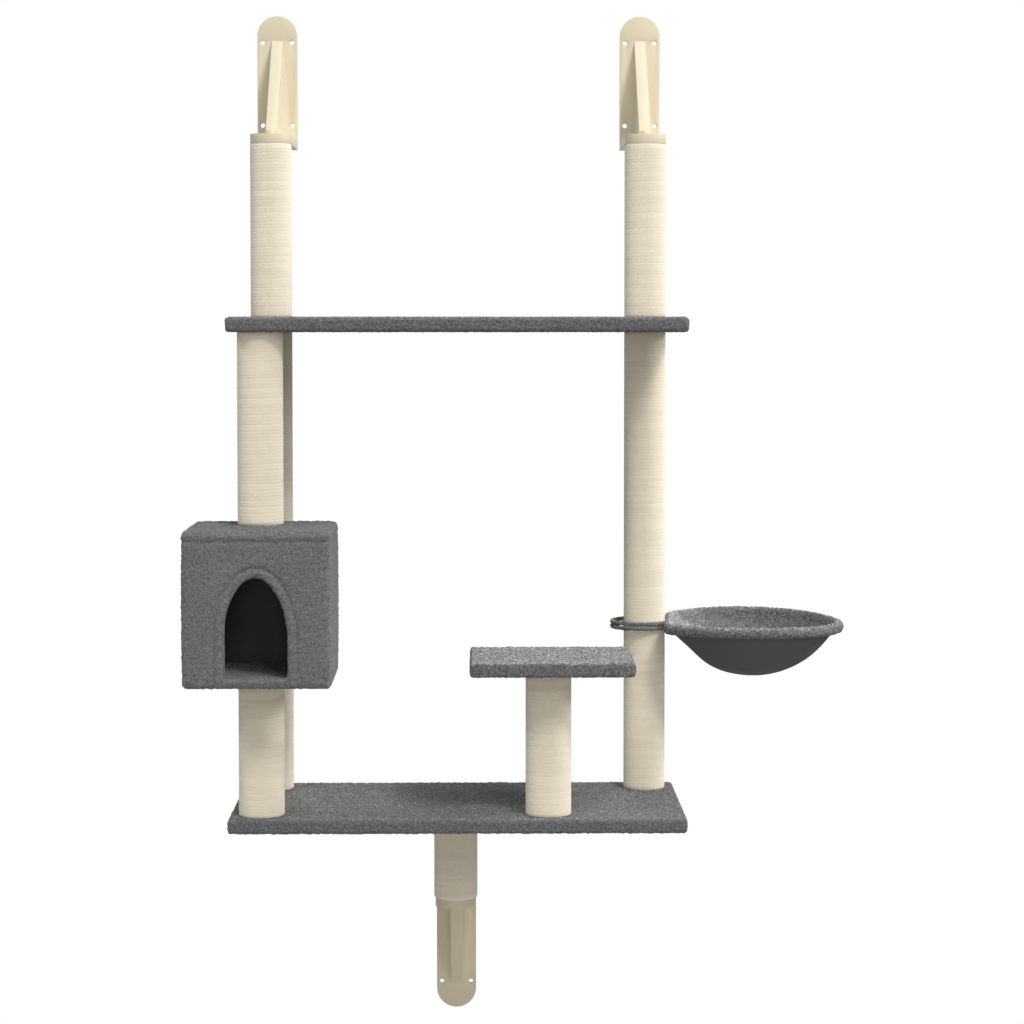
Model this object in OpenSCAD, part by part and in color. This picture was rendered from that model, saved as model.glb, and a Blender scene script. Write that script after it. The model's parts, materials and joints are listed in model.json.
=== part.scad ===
// Wall mounted cat tree: rope posts, plush boards, a cat house and a swivelling hammock.
// Three brackets carry it on the wall. Lengths are millimetres.
// The origin is the middle of the lower bracket's four screw holes, on the wall.
// +Z is up, +X is to the right and the front faces -Y.

/* [Layout] */
// Distance between the left and the right post axes
post_span = 602; // [520:1:720]
// Distance between the rear and the front post axes
post_rows = 228.5; // [200:0.5:300]
// Distance from the wall to the rear post axes
wall_to_post = 155; // [120:1:220]
// Distance from a post axis to the platform edge beside it
post_margin = 49; // [42:0.5:80]
// Sideways place of the platforms' middle from the lower post
middle_x = 5; // [-100:1:100]
// Sideways place of the step post from the platforms' middle
step_post_shift = 139; // [60:1:160]

/* [Posts] */
// Outer diameter of the rear posts, over the rope
rear_post_d = 67; // [60:0.5:72]
// Outer diameter of the front posts and the lower post, over the rope
front_post_d = 70.5; // [60:0.5:76]
// Thickness of the wound rope
rope_t = 5; // [3:0.5:7]
// Wall of the paper core tube
tube_wall = 3.5; // [2:0.5:6]
// Length of the post under the bottom platform
lower_post_l = 157; // [100:1:300]
// Length of the rear posts between the two platforms
rear_post_l = 743; // [600:1:1000]
// Length of the posts above the top platform
upper_post_l = 280; // [120:1:500]
// Length of the post under the house
house_post_l = 214; // [100:1:300]
// Length of the post under the step
step_post_l = 226; // [100:1:240]

/* [Post ends] */
// Thickness of the rim that an end plug shows
plug_rim_t = 2; // [1:0.5:4]
// Length of the part of a plug inside its tube
plug_depth = 18; // [14:1:30]
// Outer diameter of the threaded steel insert in a plug
insert_d = 12; // [10.5:0.5:16]
// Thread diameter of all the post bolts and studs
thread_d = 8; // [5:1:8]
// Length of thread that sits in an insert
thread_grip = 14; // [8:1:14]

/* [Boards] */
// Thickness of the wooden board in a platform
board_t = 15; // [10:1:25]
// Thickness of the plush cover
plush_t = 2.5; // [2:0.5:4]
// Edge radius of the plush on the platforms and the step
board_round = 5.5; // [2:0.5:5.5]
// Width of the step, over its plush
step_w = 248; // [180:1:280]
// Depth of the step, over its plush
step_d = 202.5; // [150:0.5:240]
// Sideways shift of the step from its post
step_shift_x = 4; // [-20:1:20]
// Forward shift of the step from its post
step_shift_front = 3; // [-20:1:20]

/* [House] */
// Width of the house, over its plush
house_w = 221; // [190:1:280]
// Depth of the house, over its plush
house_d = 208; // [180:1:240]
// Height of the house, over its plush
house_h = 233; // [200:1:300]
// Distance from the front post axes to the front of the house
house_reach = 134; // [90:1:145]
// Sideways shift of the house from its post
house_shift = 3.5; // [-15:0.5:15]
// Thickness of the house panels
panel_t = 9; // [8:1:15]
// Edge radius of the plush on the house
house_round = 10; // [4:0.5:12]
// Thickness of the black lining
lining_t = 1; // [0.5:0.5:2]
// Width of the doorway
door_w = 95; // [70:1:120]
// Height of the straight sides of the doorway
door_straight_h = 76; // [40:1:90]
// Height of the arched top of the doorway
door_arch_h = 74; // [40:1:80]

/* [Hammock] */
// Radius of the round side of the wire ring, at the middle of the wire
ring_r = 150; // [120:1:160]
// Distance from the rear post axis to the middle of the round side
ring_offset = 163; // [140:1:180]
// Radius of the two bends where the round side meets the flat side
ring_corner_r = 25; // [15:1:40]
// Diameter of the steel wire
wire_d = 5; // [3:0.5:6]
// Outer diameter of the plush hem round the ring
rim_d = 17; // [12:0.5:22]
// Outer diameter of the fabric wrap on the two post loops
strand_d = 7; // [6.5:0.5:9]
// Distance between the two post loops
loop_pitch = 7.5; // [7:0.5:9.5]
// Gap between the post and the loops, on the side away from the hammock
loop_gap = 15; // [4:0.5:25]
// Height of the ring above the bottom platform, at the post
hammock_h = 266; // [255:1:500]
// Downward lean of the ring away from the post, in degrees
ring_droop = 1.2; // [0:0.1:3]
// Depth of the bowl under the ring
bowl_depth = 85; // [50:1:110]
// Thickness of the felt outside the bowl
felt_t = 1.5; // [1:0.5:3]

/* [Brackets] */
// Width of the bracket plate and shelf
plate_w = 66; // [50:1:66]
// Length of the bracket plate
plate_l = 221; // [200:1:260]
// Thickness of the bracket plate
plate_t = 10; // [6:1:14]
// Thickness of the bracket shelf
shelf_t = 15; // [10:1:20]
// Diameter of the wall screw holes
hole_d = 8; // [5:0.5:10]
// Sideways distance between the wall screw holes
hole_span_x = 49; // [35:1:50]
// Upright distance between the wall screw holes
hole_span_z = 137; // [110:1:140]
// Distance from the rounded end of the plate to the nearer holes
hole_from_end = 43.5; // [40:0.5:50]
// Thickness of the bracket's web
web_t = 18; // [10:1:24]
// Distance from the rounded end of the plate to the top of the web
web_from_end = 41; // [20:1:80]
// Height of the blunt nose at the tip of the web
web_nose_h = 8; // [2:1:15]

/* [Fasteners] */
// Head diameter of the post bolts
bolt_head_d = 14; // [12:0.5:16]
// Head height of the post bolts
bolt_head_h = 4.5; // [3:0.5:6]
// Size of the hexagon socket across its corners
socket_d = 5.8; // [4:0.1:6]
// Depth of the hexagon socket
socket_depth = 2.5; // [1.5:0.5:2.5]
// Outer diameter of the washers
washer_d = 20; // [16:1:24]
// Thickness of the washers
washer_t = 2; // [1:0.5:3]
// Flange diameter of the tee nuts
tee_flange_d = 20; // [16:1:26]
// Flange thickness of the tee nuts
tee_flange_t = 1.5; // [1:0.5:2]
// Barrel diameter of the tee nuts
tee_barrel_d = 10.5; // [10:0.5:13]
// Barrel length of the tee nuts
tee_barrel_l = 9; // [4:1:9]
// Shank diameter of the panel screws
screw_d = 3; // [2:0.5:4]
// Length of the panel screws
screw_l = 28; // [20:1:32]
// Head diameter of the panel screws
screw_head_d = 6; // [5:0.5:8]
// Head thickness of the panel screws
screw_head_t = 1.5; // [1:0.5:3]

/* [Clearances] */
// Gap all round a thread in its bore
thread_gap = 0.05; // [0.02:0.01:0.1]
// Gap all round a bolt or stud where it passes through a board
pass_gap = 0.5; // [0.2:0.1:1]
// Gap between a washer and the web beside it
web_gap = 2; // [1:0.5:6]
// Gap all round a panel screw
screw_gap = 0.05; // [0.02:0.01:0.1]
// Gap between the post and the bare wire of the loops, inside the hem
seat_gap = 0.4; // [0.3:0.1:1]
// Gap between the post and the hammock's fabric beside that wire
hem_gap = 0.6; // [0.5:0.1:2]
// Gap between the wire and the fabric round it
sleeve_gap = 0.1; // [0.05:0.05:0.2]
// Gap that the weld fills between the ring and a post loop
weld_gap = 0.05; // [0.02:0.01:0.1]
// Gap between the two skins of the bowl
skin_gap = 0.3; // [0.2:0.1:0.5]
// Gap between the hammock and the wall at rest
hammock_wall_gap = 10; // [5:1:60]

/* [Hidden] */

// How finely curves are cut; counts, not lengths
round_fn = 64;
soft_fn = 24;
arch_steps = 24;
ring_steps = 48;
bend_steps = 6;
rim_sides = 16;
wire_sides = 8;
bowl_sectors = 40;

// One overrun serves every cut
cut = 1;

// Colours as the photograph shows them
cream_plastic = [0.87, 0.83, 0.71];
cream_rope = [0.90, 0.86, 0.78];
grey_plush = [0.42, 0.42, 0.42];
dark_felt = [0.26, 0.26, 0.26];
black_cloth = [0.11, 0.11, 0.11];
brown_board = [0.66, 0.53, 0.36];
brown_paper = [0.62, 0.50, 0.37];
white_plastic = [0.92, 0.91, 0.87];
plain_steel = [0.70, 0.71, 0.73];

// Places of the posts; the lower one stands at X = 0
left_x = middle_x - post_span / 2;
right_x = middle_x + post_span / 2;
step_post_x = middle_x + step_post_shift;
rear_y = -wall_to_post;
front_y = rear_y - post_rows;

// Heights, from the lower bracket up
slab_t = board_t + 2 * plush_t;
low_shelf_z = plate_l - hole_from_end - hole_span_z / 2;
floor_z = low_shelf_z + lower_post_l;
floor_top_z = floor_z + slab_t;
house_z = floor_top_z + house_post_l;
house_top_z = house_z + house_h;
step_z = floor_top_z + step_post_l;
top_z = floor_top_z + rear_post_l;
top_top_z = top_z + slab_t;
high_shelf_z = top_top_z + upper_post_l;
hammock_z = floor_top_z + hammock_h;

// Each post: x, y, lower end, length and diameter
upper_left_post = [left_x, rear_y, top_top_z, upper_post_l, rear_post_d];
upper_right_post = [right_x, rear_y, top_top_z, upper_post_l, rear_post_d];
rear_left_post = [left_x, rear_y, floor_top_z, rear_post_l, rear_post_d];
rear_right_post = [right_x, rear_y, floor_top_z, rear_post_l, rear_post_d];
house_lower_post = [left_x, front_y, floor_top_z, house_post_l, front_post_d];
house_upper_post = [left_x, front_y, house_top_z, top_z - house_top_z, front_post_d];
step_post = [step_post_x, front_y, floor_top_z, step_post_l, front_post_d];
lower_post = [0, rear_y, low_shelf_z, lower_post_l, front_post_d];
rear_posts = [upper_left_post, upper_right_post, rear_left_post, rear_right_post];
front_posts = [house_lower_post, house_upper_post, step_post, lower_post];

// Where a post stands or hangs on a board: x, y and the underside of the board
stud_places = [[left_x, rear_y, top_z], [right_x, rear_y, top_z]];
bolt_places = [
    [left_x, rear_y, floor_z], [right_x, rear_y, floor_z],
    [left_x, front_y, floor_z], [step_post_x, front_y, floor_z]
];
// Where a tee nut takes a stud: x, y, the underside of the plush and the top of the wood
floor_tee = [0, rear_y, floor_z, floor_z + plush_t + board_t];
step_tee = [step_post_x, front_y, step_z, step_z + plush_t + board_t];
top_tee = [left_x, front_y, top_z, top_z + plush_t + board_t];
house_tee = [left_x, front_y, house_z, house_z + plush_t + panel_t];
tee_places = [floor_tee, step_tee, top_tee, house_tee];

// The platforms and the step
platform_size = [post_span + 2 * post_margin, post_rows + 2 * post_margin, slab_t];
platform_y = (rear_y + front_y) / 2;
step_size = [step_w, step_d, slab_t];
step_x = step_post_x + step_shift_x;
step_y = front_y - step_shift_front;

// The house: its middle, the wooden box in the plush, and the room in the box
house_x = left_x + house_shift;
house_y = front_y - house_reach + house_d / 2;
box_w = house_w - 2 * plush_t;
box_d = house_d - 2 * plush_t;
box_z = house_z + plush_t;
box_h = house_h - 2 * plush_t;
room_w = box_w - 2 * panel_t;
room_d = box_d - 2 * panel_t;
room_z = box_z + panel_t;
room_h = box_h - 2 * panel_t;
sill_z = room_z + plush_t;
binding_t = plush_t;
box_round = house_round - plush_t;
// The panel screws are sunk to where the box's round edge covers their heads
screw_in = panel_t / 2 - screw_head_d / 2 - screw_gap;
screw_sink = box_round - sqrt(
    pow(box_round, 2) - pow(min(box_round, max(0, box_round - screw_in)), 2)
);
house_front_y = house_y - house_d / 2;
room_front_y = house_y - room_d / 2;

// The hammock, seen from its post axis
weld_in = sqrt(max(0, pow(wire_d + weld_gap, 2) - pow(loop_pitch / 2, 2)));
flat_x = rear_post_d / 2 + seat_gap + wire_d / 2 + weld_in;
loop_r = (flat_x - weld_in + rear_post_d / 2 + loop_gap + strand_d / 2) / 2;
loop_x = flat_x - weld_in - loop_r;
// Where the loops' sleeves end, clear of the post and of the hem
sleeve_r = loop_r - strand_d / 2;
sleeve_end_turn = acos(
    (pow(rear_post_d / 2 + hem_gap, 2) - pow(loop_x, 2) - pow(sleeve_r, 2)) / (2 * loop_x * sleeve_r)
);
sleeve_end_x = min(flat_x - rim_d / 2, loop_x + sleeve_r * cos(sleeve_end_turn));
slit_l = 2 * (sqrt(pow(loop_r, 2) - pow(loop_r - rim_d / 2 + weld_in, 2)) + strand_d);
slit_h = loop_pitch + strand_d;
corner_x = flat_x + ring_corner_r;
corner_y = sqrt(pow(ring_r - ring_corner_r, 2) - pow(corner_x - ring_offset, 2));
corner_turn = atan2(corner_y, corner_x - ring_offset);
hammock_reach = ring_r + rim_d / 2;
hammock_turn = min(0, asin((wall_to_post - hammock_reach - hammock_wall_gap) / ring_offset));

// The bowl: the edge hangs from the lower inner side of the rim
bowl_edge_inset = rim_d * 0.42;
bowl_edge_drop = rim_d * 0.34;
bowl_mid_x = (flat_x + ring_offset + ring_r) / 2;
// From the edge to the lowest point: reach from the middle, then drop
bowl_shares = [
    [1, 0], [0.96, 0.16], [0.9, 0.33], [0.8, 0.475], [0.66, 0.632],
    [0.52, 0.76], [0.39, 0.861], [0.26, 0.935], [0.13, 0.983]
];

// A block with soft edges, centred in X and Y, that stands on Z = 0
module soft_block(size, edge) {
    hull()
        for (x = [-1, 1], y = [-1, 1], z = [edge, size[2] - edge])
            translate([x * (size[0] / 2 - edge), y * (size[1] / 2 - edge), z])
                sphere(r = edge, $fn = soft_fn);
}

// A plain block, centred in X and Y, that stands on Z = 0
module block(size) {
    translate([-size[0] / 2, -size[1] / 2, 0]) cube(size);
}

// A rod along Z from one height to another at a place
module rod(place, low, high, d) {
    translate([place[0], place[1], low]) cylinder(d = d, h = high - low, $fn = round_fn);
}

// A bracket, seen from the post axis at the outer face of its shelf, plate upwards
module bracket() {
    color(cream_plastic)
    difference() {
        union() {
            translate([0, wall_to_post, 0]) rotate([90, 0, 0])
                linear_extrude(plate_t) {
                    translate([-plate_w / 2, 0]) square([plate_w, plate_l - plate_w / 2]);
                    translate([0, plate_l - plate_w / 2]) circle(d = plate_w, $fn = round_fn);
                }
            linear_extrude(shelf_t) {
                translate([-plate_w / 2, 0]) square([plate_w, wall_to_post]);
                circle(d = plate_w, $fn = round_fn);
            }
            translate([-web_t / 2, 0, 0]) rotate([90, 0, 90])
                linear_extrude(web_t)
                    polygon([
                        [wall_to_post, 0],
                        [wall_to_post, plate_l - web_from_end],
                        [wall_to_post - plate_t, plate_l - web_from_end],
                        [washer_d / 2 + web_gap, shelf_t + web_nose_h],
                        [washer_d / 2 + web_gap, 0]
                    ]);
        }
        for (x = [-1, 1], z = [0, 1])
            translate([
                x * hole_span_x / 2,
                wall_to_post + cut,
                plate_l - hole_from_end - z * hole_span_z
            ])
                rotate([90, 0, 0]) cylinder(d = hole_d, h = plate_t + 2 * cut, $fn = round_fn);
        translate([0, 0, -cut])
            cylinder(d = thread_d + 2 * pass_gap, h = shelf_t + 2 * cut, $fn = round_fn);
    }
}

module bracket_upper_left() {
    translate([left_x, rear_y, high_shelf_z]) bracket();
}

module bracket_upper_right() {
    translate([right_x, rear_y, high_shelf_z]) bracket();
}

module bracket_lower() {
    translate([0, rear_y, low_shelf_z]) mirror([0, 0, 1]) bracket();
}

// A button head bolt: the head stands on Z = 0 and the shank goes down
module bolt(shank_l) {
    color(plain_steel)
    difference() {
        union() {
            translate([0, 0, -shank_l]) cylinder(d = thread_d, h = shank_l, $fn = round_fn);
            cylinder(d = bolt_head_d, h = bolt_head_h, $fn = round_fn);
        }
        translate([0, 0, bolt_head_h - socket_depth])
            cylinder(d = socket_d, h = socket_depth + cut, $fn = 6);
    }
}

// A washer that stands on Z = 0
module washer() {
    color(plain_steel)
    difference() {
        cylinder(d = washer_d, h = washer_t, $fn = round_fn);
        translate([0, 0, -cut])
            cylinder(d = thread_d + 2 * pass_gap, h = washer_t + 2 * cut, $fn = round_fn);
    }
}

// Puts what is made for the outer face of a bracket's shelf on all three brackets
module on_each_shelf() {
    translate([left_x, rear_y, high_shelf_z + shelf_t]) children();
    translate([right_x, rear_y, high_shelf_z + shelf_t]) children();
    translate([0, rear_y, low_shelf_z - shelf_t]) mirror([0, 0, 1]) children();
}

module bracket_bolts() {
    on_each_shelf() translate([0, 0, washer_t]) bolt(washer_t + shelf_t + thread_grip);
}

module bracket_washers() {
    on_each_shelf() washer();
}

// The paper tube in a post
module post_tube(post) {
    outer_d = post[4] - 2 * rope_t;
    color(brown_paper)
    translate([post[0], post[1], post[2] + plug_rim_t])
        difference() {
            cylinder(d = outer_d, h = post[3] - 2 * plug_rim_t, $fn = round_fn);
            translate([0, 0, -cut])
                cylinder(
                    d = outer_d - 2 * tube_wall,
                    h = post[3] - 2 * plug_rim_t + 2 * cut,
                    $fn = round_fn
                );
        }
}

// The wound rope on a post, far past 24 turns, as one sleeve
module post_rope(post) {
    color(cream_rope)
    translate([post[0], post[1], post[2] + plug_rim_t])
        difference() {
            cylinder(d = post[4], h = post[3] - 2 * plug_rim_t, $fn = round_fn);
            translate([0, 0, -cut])
                cylinder(
                    d = post[4] - 2 * rope_t,
                    h = post[3] - 2 * plug_rim_t + 2 * cut,
                    $fn = round_fn
                );
        }
}

// Puts what is made for a post end, going up from Z = 0 into the post, on both ends
module on_both_ends(post) {
    translate([post[0], post[1], post[2]]) children();
    translate([post[0], post[1], post[2] + post[3]]) mirror([0, 0, 1]) children();
}

// An end plug: a thin rim over the rope's end and a barrel inside the tube
module end_plug(post_d) {
    color(white_plastic)
    difference() {
        union() {
            cylinder(d = post_d - rope_t / 2, h = plug_rim_t, $fn = round_fn);
            cylinder(
                d = post_d - 2 * rope_t - 2 * tube_wall,
                h = plug_rim_t + plug_depth,
                $fn = round_fn
            );
        }
        translate([0, 0, -cut])
            cylinder(d = insert_d, h = plug_rim_t + plug_depth + 2 * cut, $fn = round_fn);
    }
}

module rear_post_plugs() {
    for (post = rear_posts) on_both_ends(post) end_plug(rear_post_d);
}

module front_post_plugs() {
    for (post = front_posts) on_both_ends(post) end_plug(front_post_d);
}

module post_inserts() {
    color(plain_steel)
    for (post = concat(rear_posts, front_posts))
        on_both_ends(post)
            difference() {
                cylinder(d = insert_d, h = plug_rim_t + plug_depth, $fn = round_fn);
                translate([0, 0, -cut])
                    cylinder(
                        d = thread_d + 2 * thread_gap,
                        h = plug_rim_t + plug_depth + 2 * cut,
                        $fn = round_fn
                    );
            }
}

// A board wrapped in plush, where only the board is wood
module wooden_board(size) {
    color(brown_board)
        translate([0, 0, plush_t])
            block([size[0] - 2 * plush_t, size[1] - 2 * plush_t, size[2] - 2 * plush_t]);
}

module board_cover(size) {
    color(grey_plush)
    difference() {
        soft_block(size, board_round);
        translate([0, 0, plush_t])
            block([size[0] - 2 * plush_t, size[1] - 2 * plush_t, size[2] - 2 * plush_t]);
    }
}

// A hole right through a slab for a bolt or stud
module slab_hole(place) {
    rod(place, place[2] - cut, place[2] + slab_t + cut, thread_d + 2 * pass_gap);
}

// A hole from below for a stud that ends in a tee nut
module stud_hole(place) {
    rod(place, place[2] - cut, place[3], thread_d + 2 * pass_gap);
}

// The low end of a tee nut's barrel, which stays inside a thin panel
function tee_low(place) = max(place[3] - tee_flange_t - tee_barrel_l, place[2] + plush_t);

// The seat of a tee nut, sunk in the top of a board
module tee_seat(place) {
    rod(place, place[3] - tee_flange_t, place[3] + cut, tee_flange_d + 2 * pass_gap);
    rod(place, tee_low(place), place[3], tee_barrel_d + 2 * thread_gap);
    stud_hole(place);
}

module top_platform_board() {
    difference() {
        translate([middle_x, platform_y, top_z]) wooden_board(platform_size);
        for (place = stud_places) slab_hole(place);
        tee_seat(top_tee);
    }
}

module top_platform_cover() {
    difference() {
        translate([middle_x, platform_y, top_z]) board_cover(platform_size);
        for (place = stud_places) slab_hole(place);
        stud_hole(top_tee);
    }
}

module bottom_platform_board() {
    difference() {
        translate([middle_x, platform_y, floor_z]) wooden_board(platform_size);
        for (place = bolt_places) slab_hole(place);
        tee_seat(floor_tee);
    }
}

module bottom_platform_cover() {
    difference() {
        translate([middle_x, platform_y, floor_z]) board_cover(platform_size);
        for (place = bolt_places) slab_hole(place);
        stud_hole(floor_tee);
    }
}

module step_board() {
    difference() {
        translate([step_x, step_y, step_z]) wooden_board(step_size);
        tee_seat(step_tee);
    }
}

module step_cover() {
    difference() {
        translate([step_x, step_y, step_z]) board_cover(step_size);
        stud_hole(step_tee);
    }
}

module through_studs() {
    color(plain_steel)
    for (place = stud_places)
        rod(place, place[2] - thread_grip, place[2] + slab_t + thread_grip, thread_d);
}

module platform_bolts() {
    for (place = bolt_places)
        translate([place[0], place[1], floor_z - washer_t]) mirror([0, 0, 1])
            bolt(washer_t + slab_t + thread_grip);
}

module platform_washers() {
    for (place = bolt_places)
        translate([place[0], place[1], floor_z - washer_t]) washer();
}

module tee_nut(place) {
    color(plain_steel)
    difference() {
        union() {
            rod(place, place[3] - tee_flange_t, place[3], tee_flange_d);
            rod(place, tee_low(place), place[3], tee_barrel_d);
        }
        rod(place, place[2], place[3] + cut, thread_d + 2 * thread_gap);
    }
}

module tee_nuts() {
    for (place = tee_places) tee_nut(place);
}

module tee_nut_studs() {
    color(plain_steel)
    for (place = tee_places) rod(place, place[2] - thread_grip, place[3], thread_d);
}

// A rectangle with round corners, centred
module round_rectangle(w, h, r) {
    square([w - 2 * r, h], center = true);
    square([w, h - 2 * r], center = true);
    for (x = [-1, 1], y = [-1, 1])
        translate([x * (w / 2 - r), y * (h / 2 - r)]) circle(r = r, $fn = round_fn);
}

// The rounded space that the wooden box keeps to, under the plush
module box_limit() {
    r = box_round;
    translate([house_x, house_y, box_z + box_h / 2])
        intersection() {
            linear_extrude(box_h, center = true) round_rectangle(box_w, box_d, r);
            rotate([90, 0, 0])
                linear_extrude(box_d, center = true) round_rectangle(box_w, box_h, r);
            rotate([90, 0, 90])
                linear_extrude(box_w, center = true) round_rectangle(box_d, box_h, r);
        }
}

// A panel from its middle in X and Y, its low face and its size, cut for the screws
module house_panel(x, y, z, size) {
    color(brown_board)
    difference() {
        intersection() {
            translate([house_x + x, house_y + y, z]) block(size);
            box_limit();
        }
        screw_set(screw_gap);
    }
}

// A sunk panel screw, or its hole when a gap is given: it goes up from the face at Z = 0
module panel_screw(gap) {
    translate([0, 0, screw_sink]) {
        cylinder(d = screw_d + 2 * gap, h = screw_l + gap, $fn = round_fn);
        cylinder(d = screw_head_d + 2 * gap, h = screw_head_t, $fn = round_fn);
    }
    if (gap > 0)
        translate([0, 0, -cut])
            cylinder(d = screw_head_d + 2 * gap, h = screw_sink + 2 * cut, $fn = round_fn);
}

// All the panel screws, or their holes when a gap is given
module screw_set(gap) {
    side_x = (box_w - panel_t) / 2;
    end_y = (box_d - panel_t) / 2;
    for (x = [-1, 1], y = [-1, 1]) {
        translate([house_x + x * side_x, house_y + y * box_d / 4, box_z]) panel_screw(gap);
        translate([house_x + x * side_x, house_y + y * box_d / 4, box_z + box_h])
            mirror([0, 0, 1]) panel_screw(gap);
        for (z = [-1, 1])
            translate([
                house_x + x * box_w / 2,
                house_y + y * end_y,
                box_z + box_h / 2 + z * room_h / 4
            ])
                rotate([0, -x * 90, 0]) panel_screw(gap);
    }
}

module house_screws() {
    color(plain_steel) screw_set(0);
}

// The outline of the doorway in X and Z from the middle of its sill, grown by an amount
module door_outline(grow, drop) {
    half_w = door_w / 2 + grow;
    arch_h = door_arch_h + grow;
    polygon(concat(
        [[-half_w, -drop], [half_w, -drop]],
        [
            for (i = [0:arch_steps])
                let (a = 180 * i / arch_steps)
                    [half_w * cos(a), door_straight_h + arch_h * sin(a)]
        ]
    ));
}

// A cut through the front of the house along Y, as deep as is asked
module door_cut(grow, drop, from_y, to_y) {
    translate([house_x, to_y, sill_z]) rotate([90, 0, 0])
        linear_extrude(to_y - from_y) door_outline(grow, drop);
}

module house_floor() {
    difference() {
        house_panel(0, 0, box_z, [box_w, box_d, panel_t]);
        tee_seat(house_tee);
    }
}

module house_roof() {
    difference() {
        house_panel(0, 0, room_z + room_h, [box_w, box_d, panel_t]);
        rod(house_upper_post, room_z + room_h - cut, box_z + box_h + cut, thread_d + 2 * pass_gap);
    }
}

module house_left_side() {
    house_panel(-(room_w + panel_t) / 2, 0, room_z, [panel_t, box_d, room_h]);
}

module house_right_side() {
    house_panel((room_w + panel_t) / 2, 0, room_z, [panel_t, box_d, room_h]);
}

module house_back() {
    house_panel(0, (room_d + panel_t) / 2, room_z, [room_w, panel_t, room_h]);
}

module house_front() {
    difference() {
        house_panel(0, -(room_d + panel_t) / 2, room_z, [room_w, panel_t, room_h]);
        color(brown_board)
            door_cut(binding_t, plush_t + cut, house_front_y, room_front_y + cut);
    }
}

module house_cover() {
    color(grey_plush)
    difference() {
        translate([house_x, house_y, house_z])
            soft_block([house_w, house_d, house_h], house_round);
        box_limit();
        door_cut(0, 0, house_front_y - cut, room_front_y);
        stud_hole(house_tee);
        rod(house_upper_post, box_z + box_h - cut, house_top_z + cut, thread_d + 2 * pass_gap);
    }
}

module house_lining() {
    color(black_cloth)
    difference() {
        translate([house_x, house_y, sill_z])
            block([room_w, room_d, room_h - plush_t]);
        translate([house_x, house_y, sill_z - cut])
            block([room_w - 2 * lining_t, room_d - 2 * lining_t, room_h - plush_t - lining_t + cut]);
        door_cut(binding_t, cut, house_front_y, room_front_y + lining_t + cut);
        rod(house_upper_post, sill_z, box_z + box_h, thread_d + 2 * pass_gap);
    }
}

// The plush on the floor runs out through the doorway to the cover
module house_floor_mat() {
    color(grey_plush) {
        translate([house_x, house_y, room_z]) block([room_w, room_d, plush_t]);
        translate([house_x - door_w / 2 - binding_t, room_front_y - panel_t, room_z])
            cube([door_w + 2 * binding_t, 2 * panel_t, plush_t]);
    }
}

// The plush that is turned in round the doorway
module doorway_binding() {
    color(grey_plush)
    difference() {
        door_cut(binding_t, 0, room_front_y - panel_t, room_front_y + lining_t);
        door_cut(0, cut, house_front_y, room_front_y + lining_t + cut);
    }
}

module house_roof_bolt() {
    translate([left_x, front_y, room_z + room_h - lining_t - washer_t]) mirror([0, 0, 1])
        bolt(washer_t + lining_t + panel_t + plush_t + thread_grip);
}

module house_roof_washer() {
    translate([left_x, front_y, room_z + room_h - lining_t - washer_t]) washer();
}

// Puts the hammock on its post: turned clear of the wall and leaning down a little
module on_hammock_post() {
    translate([right_x, rear_y, hammock_z])
        rotate([0, 0, hammock_turn]) rotate([0, ring_droop, 0]) children();
}

// The ring's middle line: each station is a point and the direction outwards from the ring
function ring_bend(x, y, r, from, to, steps) = [
    for (i = [0:steps]) let (a = from + (to - from) * i / steps)
        [[x + r * cos(a), y + r * sin(a)], a]
];
ring_line = concat(
    ring_bend(ring_offset, 0, ring_r, -corner_turn, corner_turn, ring_steps),
    ring_bend(corner_x, corner_y, ring_corner_r, corner_turn, 180, bend_steps),
    ring_bend(corner_x, -corner_y, ring_corner_r, 180, 360 - corner_turn, bend_steps)
);

// Rings of points round the ring's middle line
function tube_points(d, sides) = [
    for (place = ring_line, i = [0:sides - 1])
        let (
            b = 360 * i / sides,
            out = d / 2 * cos(b),
            up = d / 2 * sin(b)
        )
            [place[0][0] + out * cos(place[1]), place[0][1] + out * sin(place[1]), up]
];

// A closed bar along the ring: its flat side is the straight run between the last bends
module ring_bar(d, sides) {
    n = len(ring_line);
    polyhedron(
        points = tube_points(d, sides),
        faces = [
            for (r = [0:n - 1], i = [0:sides - 1], half = [0, 1])
                let (
                    near = r * sides,
                    far = ((r + 1) % n) * sides,
                    j = (i + 1) % sides
                )
                    half == 0 ? [near + i, near + j, far + j] : [near + i, far + j, far + i]
        ]
    );
}

// One of the two loops round the post, the upper or the lower, laid against the flat side
module post_loop(side, d) {
    translate([loop_x, 0, side * loop_pitch / 2])
        rotate_extrude($fn = round_fn) translate([loop_r, 0]) circle(d = d, $fn = round_fn);
}

module hammock_frame() {
    color(plain_steel)
    on_hammock_post() {
        ring_bar(wire_d, wire_sides);
        post_loop(1, wire_d);
        post_loop(-1, wire_d);
    }
}

// The hem is slit on the post's side, where the two loops come out, and clears the post
module hammock_rim_sleeve() {
    color(grey_plush)
    on_hammock_post()
        difference() {
            ring_bar(rim_d, rim_sides);
            ring_bar(wire_d + 2 * sleeve_gap, wire_sides);
            translate([flat_x - rim_d / 2 - cut, -slit_l / 2, -slit_h / 2])
                cube([rim_d / 2 + cut, slit_l, slit_h]);
            translate([0, 0, -rim_d / 2 - cut])
                cylinder(d = rear_post_d + 2 * hem_gap, h = rim_d + 2 * cut, $fn = round_fn);
        }
}

module loop_sleeve(side) {
    color(grey_plush)
    on_hammock_post()
        difference() {
            post_loop(side, strand_d);
            post_loop(side, wire_d + 2 * sleeve_gap);
            translate([sleeve_end_x, -slit_l, -slit_h]) cube([2 * rim_d, 2 * slit_l, 2 * slit_h]);
        }
}

module hammock_upper_loop_sleeve() {
    loop_sleeve(1);
}

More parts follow.
